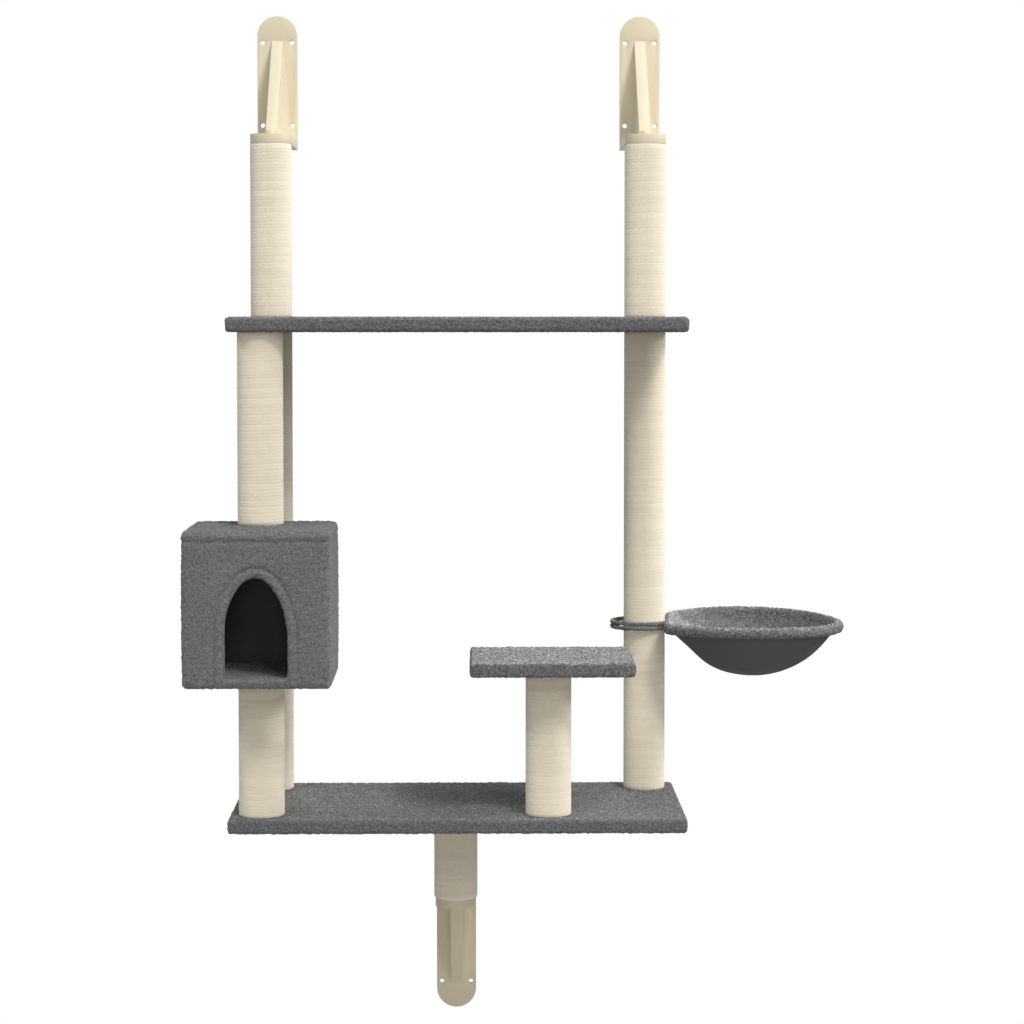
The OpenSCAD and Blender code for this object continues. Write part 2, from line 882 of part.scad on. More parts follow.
module hammock_lower_loop_sleeve() {
    loop_sleeve(-1);
}

// Distance from the bowl's middle to a circle along a direction
function to_circle(a, c, r) =
    let (u = [cos(a), sin(a)], b = u * c)
        b + sqrt(b * b - c * c + r * r);

// Distance from the bowl's middle to its edge along a direction, the edge inset by an amount
function to_edge(a, inset) =
    let (
        turn = abs(a),
        r = ring_r - inset,
        ring_mid = [ring_offset - bowl_mid_x, 0],
        bend_mid = [corner_x - bowl_mid_x, corner_y],
        flat_reach = bowl_mid_x - flat_x - inset,
        ring_end = ring_mid + r * [cos(corner_turn), sin(corner_turn)],
        ring_end_turn = atan2(ring_end[1], ring_end[0]),
        flat_end_turn = atan2(corner_y, -flat_reach)
    )
        turn < ring_end_turn ? to_circle(turn, ring_mid, r)
        : turn < flat_end_turn ? to_circle(turn, bend_mid, ring_corner_r - inset)
        : flat_reach / -cos(turn);

// The points of one face of the bowl, raised by an amount, with the lowest point last
function bowl_face(rise) = concat(
    [
        for (row = bowl_shares, i = [0:bowl_sectors - 1])
            let (
                a = 360 * i / bowl_sectors - 180,
                reach = row[0] * to_edge(a, bowl_edge_inset + rise)
            )
                [
                    bowl_mid_x + reach * cos(a),
                    reach * sin(a),
                    row[1] * (rise - bowl_depth + bowl_edge_drop) - bowl_edge_drop
                ]
    ],
    [[bowl_mid_x, 0, rise - bowl_depth]]
);

// One skin of the bowl between two faces, as triangles
module bowl_skin(low, high) {
    rows = len(bowl_shares);
    n = bowl_sectors;
    size = rows * n + 1;
    polyhedron(
        points = concat(bowl_face(low), bowl_face(high)),
        faces = concat(
            [for (r = [0:rows - 2], i = [0:n - 1]) let (j = (i + 1) % n)
                [r * n + i, r * n + n + i, r * n + j]],
            [for (r = [0:rows - 2], i = [0:n - 1]) let (j = (i + 1) % n)
                [r * n + j, r * n + n + i, r * n + n + j]],
            [for (i = [0:n - 1]) let (j = (i + 1) % n)
                [(rows - 1) * n + i, size - 1, (rows - 1) * n + j]],
            [for (r = [0:rows - 2], i = [0:n - 1]) let (j = (i + 1) % n)
                [size + r * n + i, size + r * n + j, size + r * n + n + i]],
            [for (r = [0:rows - 2], i = [0:n - 1]) let (j = (i + 1) % n)
                [size + r * n + j, size + r * n + n + j, size + r * n + n + i]],
            [for (i = [0:n - 1]) let (j = (i + 1) % n)
                [size + (rows - 1) * n + i, size + (rows - 1) * n + j, 2 * size - 1]],
            [for (i = [0:n - 1]) let (j = (i + 1) % n) [i, j, size + i]],
            [for (i = [0:n - 1]) let (j = (i + 1) % n) [j, size + j, size + i]]
        )
    );
}

module hammock_bowl_underside() {
    color(dark_felt) on_hammock_post() bowl_skin(0, felt_t);
}

module hammock_bowl_lining() {
    color(grey_plush)
        on_hammock_post() bowl_skin(felt_t + skin_gap, felt_t + skin_gap + plush_t);
}

module upper_left_tube() { post_tube(upper_left_post); }
module upper_right_tube() { post_tube(upper_right_post); }
module rear_left_tube() { post_tube(rear_left_post); }
module rear_right_tube() { post_tube(rear_right_post); }
module house_lower_tube() { post_tube(house_lower_post); }
module house_upper_tube() { post_tube(house_upper_post); }
module step_tube() { post_tube(step_post); }
module lower_tube() { post_tube(lower_post); }
module upper_left_rope() { post_rope(upper_left_post); }
module upper_right_rope() { post_rope(upper_right_post); }
module rear_left_rope() { post_rope(rear_left_post); }
module rear_right_rope() { post_rope(rear_right_post); }
module house_lower_rope() { post_rope(house_lower_post); }
module house_upper_rope() { post_rope(house_upper_post); }
module step_rope() { post_rope(step_post); }
module lower_rope() { post_rope(lower_post); }

bracket_upper_left();
bracket_upper_right();
bracket_lower();
bracket_bolts();
bracket_washers();
upper_left_tube();
upper_right_tube();
rear_left_tube();
rear_right_tube();
house_lower_tube();
house_upper_tube();
step_tube();
lower_tube();
upper_left_rope();
upper_right_rope();
rear_left_rope();
rear_right_rope();
house_lower_rope();
house_upper_rope();
step_rope();
lower_rope();
rear_post_plugs();
front_post_plugs();
post_inserts();
top_platform_board();
top_platform_cover();
bottom_platform_board();
bottom_platform_cover();
step_board();
step_cover();
through_studs();
platform_bolts();
platform_washers();
tee_nuts();
tee_nut_studs();
house_floor();
house_roof();
house_left_side();
house_right_side();
house_back();
house_front();
house_cover();
house_lining();
house_floor_mat();
doorway_binding();
house_screws();
house_roof_bolt();
house_roof_washer();
hammock_frame();
hammock_rim_sleeve();
hammock_upper_loop_sleeve();
hammock_lower_loop_sleeve();
hammock_bowl_lining();
hammock_bowl_underside();
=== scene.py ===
# %% [markdown]
# A wall mounted cat tree, dressed in Blender around its CAD frame.
# The frame gives every piece its place and size, in metres, with the wall at Y = 0 and the
# front facing -Y. What is rigid and sharp, such as a bolt, stays as the frame has it. What
# gives the tree its look is made here: wound cord on the posts, short plush on the boards, the
# house and the hammock, felt under the bowl, and the soft edges of moulded plastic.

# %% Load the frame
import json
import math

import bpy
import numpy as np
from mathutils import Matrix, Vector


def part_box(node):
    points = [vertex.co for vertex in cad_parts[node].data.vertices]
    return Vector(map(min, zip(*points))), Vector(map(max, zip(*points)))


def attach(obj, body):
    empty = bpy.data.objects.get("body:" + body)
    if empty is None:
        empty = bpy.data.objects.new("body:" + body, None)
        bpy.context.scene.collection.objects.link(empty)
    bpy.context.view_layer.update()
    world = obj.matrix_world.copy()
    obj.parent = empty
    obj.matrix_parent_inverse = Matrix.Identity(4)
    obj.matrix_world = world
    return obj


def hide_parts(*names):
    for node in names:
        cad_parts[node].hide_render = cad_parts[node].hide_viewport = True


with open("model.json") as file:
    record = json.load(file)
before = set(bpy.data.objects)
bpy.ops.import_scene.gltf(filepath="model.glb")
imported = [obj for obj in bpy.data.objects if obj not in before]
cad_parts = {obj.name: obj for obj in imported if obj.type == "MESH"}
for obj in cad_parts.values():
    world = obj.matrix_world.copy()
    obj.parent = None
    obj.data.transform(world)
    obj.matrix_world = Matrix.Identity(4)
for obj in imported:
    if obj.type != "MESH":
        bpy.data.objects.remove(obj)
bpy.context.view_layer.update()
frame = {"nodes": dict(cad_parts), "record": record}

# %% [markdown]
# The camera comes first, so that every later step can be judged in the right view. The
# photograph was taken with a long lens, a little above the middle of the tree and square to the
# wall, and then cropped low. A small shift and a slight downward tilt give the same framing
# and still leave room round the tree when the camera is moved round it.

# %% Camera
IMAGE_PX = 1024
SENSOR_MM = 36
FOCAL_PX = 2585.5
SHIFT_UP = -0.0693
CAMERA_PLACE = (0.0300, -4.3303, 1.0399)
TILT_DOWN, TURN_RIGHT = 2.592, 0.843
camera_data = bpy.data.cameras.new("photo_camera")
camera_data.sensor_width = SENSOR_MM
camera_data.lens = FOCAL_PX / IMAGE_PX * SENSOR_MM
camera_data.shift_y = SHIFT_UP
camera = bpy.data.objects.new("photo_camera", camera_data)
camera.location = CAMERA_PLACE
camera.rotation_euler = (math.radians(90 - TILT_DOWN), 0, math.radians(-TURN_RIGHT))
scene = bpy.context.scene
scene.collection.objects.link(camera)
scene.camera = camera
print("camera: lens", round(camera_data.lens, 1), "mm")

# %% [markdown]
# Colours are written as they would be picked from a photograph, in hex, and one function turns
# them into the linear values that the renderer works in. A second small function adds any node
# with its settings and its links, so that a material reads as a short list of steps. The last
# step of most of them feeds the patterns to the shader.

# %% Helpers for colours and nodes
def linear(hex_colour):
    """A six digit sRGB hex colour as linear red, green, blue and alpha."""
    parts = [int(hex_colour[i:i + 2], 16) / 255 for i in (0, 2, 4)]
    return [p / 12.92 if p <= 0.04045 else ((p + 0.055) / 1.055) ** 2.4 for p in parts] + [1]


def add(tree, kind, inputs=None, **settings):
    """Adds a node: settings are its own properties, inputs are values or other nodes' outputs."""
    node = tree.nodes.new("ShaderNode" + kind)
    for name, value in settings.items():
        setattr(node, name, value)
    for name, value in (inputs or {}).items():
        if isinstance(value, bpy.types.NodeSocket):
            tree.links.new(value, node.inputs[name])
        else:
            node.inputs[name].default_value = value
    return node


def new_material(name, inputs):
    """A material with one Principled shader: its tree and the shader, to be given patterns."""
    material = bpy.data.materials.new(name)
    material.use_nodes = True
    tree = material.node_tree
    tree.nodes.clear()
    shader = add(tree, "BsdfPrincipled", inputs)
    add(tree, "OutputMaterial", {"Surface": shader.outputs["BSDF"]})
    return material, tree, shader


def feed(tree, shader, patterns):
    """Links patterns to the shader's inputs, by the inputs' names."""
    for name, pattern in patterns.items():
        tree.links.new(pattern, shader.inputs[name])


def two_tone(tree, shader, tone, hexes, height, strength, distance):
    """Colours the shader between two hex colours by a tone, and embosses a height into it."""
    low, high = linear(hexes[0]), linear(hexes[1])
    mix = add(tree, "Mix", {0: tone, 6: low, 7: high}, data_type="RGBA")
    bump = add(tree, "Bump", {"Height": height, "Strength": strength, "Distance": distance})
    feed(tree, shader, {"Base Color": mix.outputs[2], "Normal": bump.outputs[0]})


# A Mix node's inputs go by number: 0 is the factor, 2 and 3 are the values between which it
# mixes, 6 and 7 the colours, and a mixed colour comes out of output 2.
# A noise with scale PER_MM / 4 has spots about 4 mm wide
PER_MM = 1000

# %% [markdown]
# The tree hangs in a plain studio. The white behind it is the world itself, which shows white to
# the camera and in reflections, and lights the tree with a dim, even glow. Three soft lamps
# stand one above the other on the right and give the modelling. A strong one beside the tree
# draws a light edge on the right, one in front and one on the left open the shadows, and one
# lights the back for other views.

# %% World and lamps
WORLD_GLOW = 0.2
LAMP_AWAY = 9.0
TREE_MIDDLE = Vector((0, -0.25, 0.72))
scene.view_settings.view_transform = "Standard"
world = bpy.data.worlds.new("studio")
scene.world = world
world.use_nodes = True
sky = world.node_tree
sky.nodes.clear()
rays = add(sky, "LightPath")
mirrored = add(sky, "Math", {0: rays.outputs["Is Camera Ray"], 1: rays.outputs["Is Glossy Ray"]})
seen = add(sky, "Math", {0: mirrored.outputs[0], 1: rays.outputs["Is Transmission Ray"]},
           use_clamp=True)
glow = add(sky, "Background", {"Color": linear("ffffff"), "Strength": WORLD_GLOW})
white = add(sky, "Background", {"Color": linear("ffffff"), "Strength": 1.0})
both = add(sky, "MixShader", {0: seen.outputs[0], 1: glow.outputs[0], 2: white.outputs[0]})
add(sky, "OutputWorld", {"Surface": both.outputs[0]})


def lamp(name, around, up, watts, width=2.4):
    """A square soft lamp far from the tree: degrees round to the right and up from the front."""
    around, up = math.radians(around), math.radians(up)
    way = Vector((math.sin(around) * math.cos(up), -math.cos(around) * math.cos(up), math.sin(up)))
    data = bpy.data.lights.new(name, "AREA")
    data.size, data.energy = width, watts
    made = bpy.data.objects.new(name, data)
    scene.collection.objects.link(made)
    made.location = TREE_MIDDLE + way * LAMP_AWAY
    made.rotation_euler = way.to_track_quat("Z", "Y").to_euler()


lamp("key_high", 40, 65, 250)
lamp("key_middle", 30, 45, 320, width=1.7)
lamp("key_low", 20, 25, 104)
lamp("front", 0, 2, 140)
lamp("edge_right", 95, 30, 440)
lamp("fill_left", -60, 45, 176)
lamp("back", 180, 40, 200)
print("studio:", len(bpy.data.lights), "lamps, world", WORLD_GLOW)

# %% [markdown]
# Pieces are modelled with Blender's own tools, as by hand. An operator acts on everything that
# is selected, so each step first drops the selection and then picks what it needs, such as
# faces by where they are. These helpers keep that in one place.

# %% Helpers for modelling
def drop_selection():
    """Leaves edit mode and deselects every object."""
    if bpy.context.object and bpy.context.object.mode != "OBJECT":
        bpy.ops.object.mode_set(mode="OBJECT")
    bpy.ops.object.select_all(action="DESELECT")


def hold(piece):
    """Makes a piece the only one that is selected and active."""
    drop_selection()
    piece.select_set(True)
    bpy.context.view_layer.objects.active = piece
    return piece


def place_for_good(piece):
    """Moves the piece's place, turn and size into its mesh."""
    hold(piece)
    bpy.ops.object.transform_apply(location=True, rotation=True, scale=True)
    return piece


def pick_faces(piece, test):
    """In edit mode on the piece, selects the faces whose corners pass a test."""
    hold(piece)
    bpy.ops.object.mode_set(mode="EDIT")
    bpy.ops.mesh.select_mode(type="FACE")
    bpy.ops.mesh.select_all(action="DESELECT")
    bpy.ops.object.mode_set(mode="OBJECT")
    points = [v.co for v in piece.data.vertices]
    for face in piece.data.polygons:
        face.select = bool(test([points[i] for i in face.vertices]))
    bpy.ops.object.mode_set(mode="EDIT")


def finish_modifier(piece, kind, **settings):
    """Adds a modifier and applies it at once."""
    hold(piece)
    modifier = piece.modifiers.new(kind.lower(), kind)
    for name, value in settings.items():
        setattr(modifier, name, value)
    bpy.ops.object.modifier_apply(modifier=modifier.name)
    return piece


def face_outwards(piece):
    """Merges doubled points and turns every face outwards."""
    hold(piece)
    bpy.ops.object.mode_set(mode="EDIT")
    bpy.ops.mesh.select_all(action="SELECT")
    bpy.ops.mesh.remove_doubles(threshold=0.00001)
    bpy.ops.mesh.normals_make_consistent(inside=False)
    bpy.ops.object.mode_set(mode="OBJECT")
    return piece


def move_points(piece, rule):
    """Moves all points at once: rule takes and gives an array of X, Y, Z rows."""
    mesh = piece.data
    points = np.empty(len(mesh.vertices) * 3, np.float32)
    mesh.vertices.foreach_get("co", points)
    points = np.asarray(rule(points.reshape(-1, 3).astype(float)), np.float32)
    mesh.vertices.foreach_set("co", points.ravel())
    mesh.update()
    return piece


def dress(piece, name, material, slot, body, *nodes):
    """Names a finished piece, gives it its finish and lets it ride on its body."""
    place_for_good(piece)
    piece.name = piece.data.name = name
    piece.data.materials.clear()
    piece.data.materials.append(material)
    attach(piece, body)
    if nodes:
        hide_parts(*nodes)
    print(name + ":", len(piece.data.polygons), "faces")
    return piece


def node_size(node):
    """A node's lowest corner, highest corner and middle."""
    low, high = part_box(node)
    return low, high, (low + high) / 2


def copy_of(node):
    """A copy of a node with its own mesh, whose doubled points are merged."""
    copy = bpy.data.objects.new(node + "_copy", frame["nodes"][node].data.copy())
    scene.collection.objects.link(copy)
    return face_outwards(copy)

# %% [markdown]
# The floor is a round of pale matt board, far enough below that only other views see it. A plain
# circle with a turned-down rim does for it, and it isn't part of the tree.

# %% Floor
FLOOR_MIDDLE, FLOOR_RADIUS, FLOOR_THICK = (0, -0.2, -0.62), 1.3, 0.02
CLOUDS_PER_M = 9.0
drop_selection()
bpy.ops.mesh.primitive_circle_add(
    vertices=96, radius=FLOOR_RADIUS, fill_type="NGON", location=FLOOR_MIDDLE,
)
floor = bpy.context.object
floor.name = "studio_floor"
bpy.ops.object.mode_set(mode="EDIT")
bpy.ops.mesh.extrude_region_move(TRANSFORM_OT_translate={"value": (0, 0, -FLOOR_THICK)})
bpy.ops.object.mode_set(mode="OBJECT")
place_for_good(floor)
pale, tree, shader = new_material("pale_matt_board", {"Roughness": 0.9})
place = add(tree, "TexCoord").outputs["Object"]
spots = add(tree, "TexNoise", {"Vector": place, "Scale": CLOUDS_PER_M})
tone = add(tree, "Mix", {0: spots.outputs["Fac"], 6: linear("b0b0ae"), 7: linear("b8b8b6")},
           data_type="RGBA")
feed(tree, shader, {"Base Color": tone.outputs[2]})
floor.data.materials.append(pale)
print("floor at", floor.data.vertices[0].co.z)

# %% [markdown]
# Plush here is a knitted polyester with a short raised pile, mid grey. Its threads stand up in
# small tufts, a few millimetres across, with pale tips and dark gaps, so the eye sees fine
# mottling and no shine, and a soft lighter edge where the pile is seen from the side. That edge
# is what the shader's sheen is for. On tops the pile lies combed one way, so those have a second
# pattern, drawn out along Y, and colours of their own, which partly hold painted light: lighter
# tips for glints where light grazes the pile, and darker tops for shade. Worn or pressed places
# lie smoother and lighter, which a larger, weaker pattern gives. Where the hammock's bowl stores
# an attribute for it, the pile is lighter still: a painted highlight for the light that falls on
# the bowl's inner side by the post.

# %% Short-pile plush
TUFT_MM, CURL_MM, LYING_MM, PRESSED_MM = 3.6, 2.0, 3.4, 60
COMBED = (1, 0.42, 1)
PILE_DEEP = 0.0025


def plush(name, side_hexes, top_hexes, speck_hex):
    """Short-pile polyester plush: gap and tip colours on sides and tops, and the lightest tips."""
    material, tree, shader = new_material(name, {
        "Roughness": 0.9, "Diffuse Roughness": 0.5, "IOR": 1.46, "Specular IOR Level": 0.2,
        "Sheen Weight": 0.2, "Sheen Roughness": 0.4, "Sheen Tint": linear("d0d0d0"),
    })
    place = add(tree, "TexCoord").outputs["Object"]
    facing = add(tree, "SeparateXYZ", {0: add(tree, "NewGeometry").outputs["Normal"]})
    on_top = add(tree, "MapRange", {
        "Value": facing.outputs["Z"], "From Min": 0.5, "From Max": 0.9,
    }).outputs[0]
    tufts = add(tree, "TexNoise", {
        "Vector": place, "Scale": PER_MM / TUFT_MM, "Detail": 2.0, "Roughness": 0.55,
    })
    curls = add(tree, "TexNoise", {
        "Vector": place, "Scale": PER_MM / CURL_MM, "Detail": 1.0, "Distortion": 1.5,
    })
    combed = add(tree, "Mapping", {"Vector": place, "Scale": COMBED})
    lying = add(tree, "TexNoise", {
        "Vector": combed.outputs[0], "Scale": PER_MM / LYING_MM, "Detail": 1.0, "Distortion": 0.8,
    })
    pressed = add(tree, "TexNoise", {"Vector": place, "Scale": PER_MM / PRESSED_MM, "Detail": 2.0})
    lift = add(tree, "MapRange", {
        "Value": pressed.outputs["Fac"], "From Min": 0.3, "From Max": 0.7,
        "To Min": -0.08, "To Max": 0.08,
    })
    # The painted highlight stored on the hammock's bowl, where light falls on its inner side
    painted_highlight = add(tree, "Attribute", attribute_name="painted_highlight", attribute_type="GEOMETRY")
    raised = add(tree, "Math", {0: lift.outputs[0], 1: painted_highlight.outputs["Fac"]})

    def piled(grain, narrow, hexes):
        """The pile's colour between its gaps and tips, at a grain from 0 to 1."""
        spread = add(tree, "MapRange", {"Value": grain, "From Min": narrow, "From Max": 1 - narrow})
        level = add(tree, "Math", {0: spread.outputs[0], 1: raised.outputs[0]}, use_clamp=True)
        gap, tip = linear(hexes[0]), linear(hexes[1])
        return add(tree, "Mix", {0: level.outputs[0], 6: gap, 7: tip}, data_type="RGBA").outputs[2]

    # The tops' own colours partly carry painted light: lighter tips for glints, darker tops for
    # shade
    cloth = add(tree, "Mix", {
        0: on_top, 6: piled(tufts.outputs["Fac"], 0.32, side_hexes),
        7: piled(lying.outputs["Fac"], 0.36, top_hexes),
    }, data_type="RGBA")
    finest = add(tree, "Mix", {0: on_top, 2: curls.outputs["Fac"], 3: lying.outputs["Fac"]})
    # The specks also take in the painted highlight on the hammock bowl's inner side
    specks_and_highlight = add(tree, "Math", {0: painted_highlight.outputs["Fac"], 1: 0.14, 2: finest.outputs[0]},
                     operation="MULTIPLY_ADD")
    specks = add(tree, "MapRange", {
        "Value": specks_and_highlight.outputs[0], "From Min": 0.60, "From Max": 0.72,
    })
    tips = add(tree, "Mix", {0: specks.outputs[0], 6: cloth.outputs[2], 7: linear(speck_hex)},
               data_type="RGBA")
    upright = add(tree, "Math", {0: curls.outputs["Fac"], 1: tufts.outputs["Fac"]})
    flattened = add(tree, "Math", {0: lying.outputs["Fac"], 1: 4.0}, operation="MULTIPLY")
    height = add(tree, "Mix", {0: on_top, 2: upright.outputs[0], 3: flattened.outputs[0]})
    bump = add(tree, "Bump", {"Height": height.outputs[0], "Strength": 0.8, "Distance": PILE_DEEP})
    feed(tree, shader, {"Base Color": tips.outputs[2], "Normal": bump.outputs[0]})
    return material


# The step and the hammock have a loose pile with pale tips, and their tops are lighter, partly
# painted highlight for the glints of grazing light. The platforms' tops are darker and plainer,
# partly painted shade. The house is brushed up, so its sides are lighter, and the mat is worn flat.
grey_plush = plush("grey_short_pile_plush", ("525252", "7c7c7c"), ("5c5c5c", "9e9e9e"), "c4c4c4")
plush_with_shaded_tops = plush("grey_plush_with_shaded_tops", ("555555", "7d7d7d"), ("5c5c5c", "7d7d7d"), "9a9a9a")
brushed_plush = plush("grey_brushed_plush", ("636363", "868686"), ("5b5b5b", "707070"), "929292")
mat_plush = plush("grey_mat_plush", ("525252", "767676"), ("565656", "7e7e7e"), "8e8e8e")
print("materials:", grey_plush.name, plush_with_shaded_tops.name, brushed_plush.name, mat_plush.name)

# %% [markdown]
# The cord on the posts is a twisted cotton and paper cord, pale cream, wound tight, turn upon
# turn. It is matt. Each strand of the twist shows as a fine slant line, and single turns differ
# a little in colour, as cord does that has been spun from many lots. The pattern has to follow
# the cord, so it reads an attribute that holds the distance along and round the cord.

# %% Twisted cord
STRAND_MM, LOT_MM, FUZZ_MM = 2.2, 150, 1.5
cord_finish, tree, shader = new_material("twisted_cream_cord", {
    "Roughness": 0.85, "Diffuse Roughness": 0.9, "IOR": 1.5, "Specular IOR Level": 0.2,
    "Sheen Weight": 0.08, "Sheen Roughness": 0.5, "Sheen Tint": linear("f3e8d0"),
})
wound = add(tree, "Attribute", attribute_name="wound").outputs["Vector"]
slant = add(tree, "Mapping", {"Vector": wound, "Rotation": (0, 0, math.radians(40))})
# At scale 1 the wave repeats every 2 pi / 20 units, so here it repeats every two strands
strands = add(tree, "TexWave", {
    "Vector": slant.outputs[0], "Scale": PER_MM / STRAND_MM / 20 * math.pi, "Distortion": 1.0,
    "Detail": 2.0, "Detail Scale": 2.0,
})
place = add(tree, "TexCoord").outputs["Object"]
lots = add(tree, "TexNoise", {"Vector": wound, "Scale": PER_MM / LOT_MM, "Detail": 2.0})
fuzz = add(tree, "TexNoise", {"Vector": place, "Scale": PER_MM / FUZZ_MM, "Detail": 3.0})
both = add(tree, "Math", {0: lots.outputs["Fac"], 1: fuzz.outputs["Fac"]})
shade = add(tree, "MapRange", {"Value": both.outputs[0], "From Min": 0.7, "From Max": 1.3})
height = add(tree, "Math", {0: strands.outputs["Fac"], 1: fuzz.outputs["Fac"]})
two_tone(tree, shader, shade.outputs[0], ("e6ddc9", "f2ead9"), height.outputs[0], 0.35, 0.0005)
print("material:", cord_finish.name)

# %% [markdown]
# Needle felt, plain non-woven cloth, moulded plastic, zinc plated steel, chipboard and brown
# paper make up the rest. Each starts from the typical values of the real stuff: felt and cloth
# are fully matt, a moulded plastic has an IOR of about 1.5 and a fine sparked skin, zinc is a
# metal with a soft gloss. The bolts at the brackets are enamelled cream to match. The insides
# are hidden, but they are finished too, because the tree can be looked at with pieces taken off.

# %% Felt and lining
FIBRE_MM, DOT_MM = 2.5, 1.6
felt, tree, shader = new_material("dark_needle_felt", {
    "Roughness": 0.96, "IOR": 1.46, "Specular IOR Level": 0.1,
    "Sheen Weight": 0.05, "Sheen Roughness": 0.5, "Sheen Tint": linear("909090"),
})
place = add(tree, "TexCoord").outputs["Object"]
long_way = add(tree, "Mapping", {"Vector": place, "Scale": (1, 1, 0.35)})
fibres = add(tree, "TexNoise", {
    "Vector": long_way.outputs[0], "Scale": PER_MM / FIBRE_MM, "Detail": 4.0,
})
lie = fibres.outputs["Fac"]
two_tone(tree, shader, lie, ("585858", "666666"), lie, 0.25, 0.0006)

black_cloth, tree, shader = new_material("black_nonwoven_cloth", {
    "Roughness": 0.95, "IOR": 1.46, "Specular IOR Level": 0.12,
})
place = add(tree, "TexCoord").outputs["Object"]
dots = add(tree, "TexVoronoi", {"Vector": place, "Scale": PER_MM / DOT_MM}, feature="F1")
dot = dots.outputs["Distance"]
two_tone(tree, shader, dot, ("404040", "4a4a4a"), dot, 0.3, 0.0003)
print("materials:", felt.name, black_cloth.name)

# %% Plastic, steel, chipboard and paper
FLOW_MM, SPARK_MM, ZINC_GRAIN_MM = 45, 0.8, 1.2


def moulded(name, hexes, roughness):
    """A hard cream or white skin, finely sparked, with faint flow shading."""
    material, tree, shader = new_material(name, {"Roughness": roughness, "IOR": 1.5})
    place = add(tree, "TexCoord").outputs["Object"]
    flow = add(tree, "TexNoise", {"Vector": place, "Scale": PER_MM / FLOW_MM, "Detail": 2.0})
    skin = add(tree, "TexNoise", {"Vector": place, "Scale": PER_MM / SPARK_MM, "Detail": 2.0})
    two_tone(tree, shader, flow.outputs["Fac"], hexes, skin.outputs["Fac"], 0.12, 0.0002)
    return material


cream_plastic = moulded("cream_moulded_plastic", ("cfc4a7", "d4caaf"), 0.5)
cream_enamel = moulded("cream_enamelled_steel", ("d3caae", "d8d0b6"), 0.35)
white_plastic = moulded("white_moulded_plastic", ("e9e4d4", "efebde"), 0.55)

zinc, tree, shader = new_material("zinc_plated_steel", {"Metallic": 1.0, "Roughness": 0.35})
place = add(tree, "TexCoord").outputs["Object"]
grain = add(tree, "TexNoise", {"Vector": place, "Scale": PER_MM / ZINC_GRAIN_MM, "Detail": 3.0})
tone = add(tree, "Mix", {0: grain.outputs["Fac"], 6: linear("b4b7bb"), 7: linear("c9cbce")},
           data_type="RGBA")
gloss = add(tree, "MapRange", {"Value": grain.outputs["Fac"], "To Min": 0.28, "To Max": 0.46})
feed(tree, shader, {"Base Color": tone.outputs[2], "Roughness": gloss.outputs[0]})


def pressed_fibres(name, hexes, chip_mm, flat):
    """Chipboard or paper: pressed chips or fibres that lie mostly one way."""
    material, tree, shader = new_material(name, {"Roughness": 0.85, "Specular IOR Level": 0.2})
    place = add(tree, "TexCoord").outputs["Object"]
    lying = add(tree, "Mapping", {"Vector": place, "Scale": (1, 1, flat)})
    chips = add(tree, "TexVoronoi", {"Vector": lying.outputs[0], "Scale": PER_MM / chip_mm})
    fine = add(tree, "TexNoise", {"Vector": lying.outputs[0], "Scale": PER_MM / chip_mm * 3})
    grain = add(tree, "Math", {0: chips.outputs["Distance"], 1: fine.outputs["Fac"]},
                operation="MULTIPLY")
    two_tone(tree, shader, grain.outputs[0], hexes, grain.outputs[0], 0.2, 0.0003)
    return material


chipboard = pressed_fibres("raw_chipboard", ("8f7449", "c4a878"), 4.0, 2.5)
brown_paper = pressed_fibres("brown_paper_tube", ("8c7350", "b39a72"), 2.0, 0.3)
print("materials:", len(bpy.data.materials))

# %% [markdown]
# Every node of the frame gets the finish of what it is made of, by its material slot. The soft
# ones are replaced further on by pieces that are modelled as cloth and cord. Only the bolts
# and washers at the brackets are named here, because steel is zinc plated everywhere else.

# %% Finishes on the frame's own nodes
finishes = {
    "cream_plastic": cream_plastic, "rope": cord_finish, "plush": grey_plush, "felt": felt,
    "black_cloth": black_cloth, "board": chipboard, "paper_tube": brown_paper,
    "white_plastic": white_plastic, "steel": zinc,
}
slot_of = {part["node"]: part["material_slot"] for part in frame["record"]["subparts"]}
enamelled = dict.fromkeys(("bracket_bolts", "bracket_washers"), cream_enamel)
for node, thing in frame["nodes"].items():
    thing.data.materials.clear()
    thing.data.materials.append(enamelled.get(node, finishes[slot_of[node]]))
print("finished", len(slot_of), "nodes")

# %% [markdown]
# A post is a paper tube with cord wound round it, edge to edge, about 5 mm a turn. The cord is
# swept as it is wound: its cross-section is one small oval, and the Screw modifier carries it
# round the post's axis and up by one pitch each turn. The oval is taller than the pitch, so
# neighbouring turns press together and leave only a shallow groove, as tight winding does.

# %% Wound posts
CORD_PITCH = 0.005
CORD_HALF_DEEP = 0.0025
CORD_HALF_TALL = 0.0082
SIDES, STEPS = 8, 40
END_GAP = 0.0003
LEFT_PAST_END = 0.02


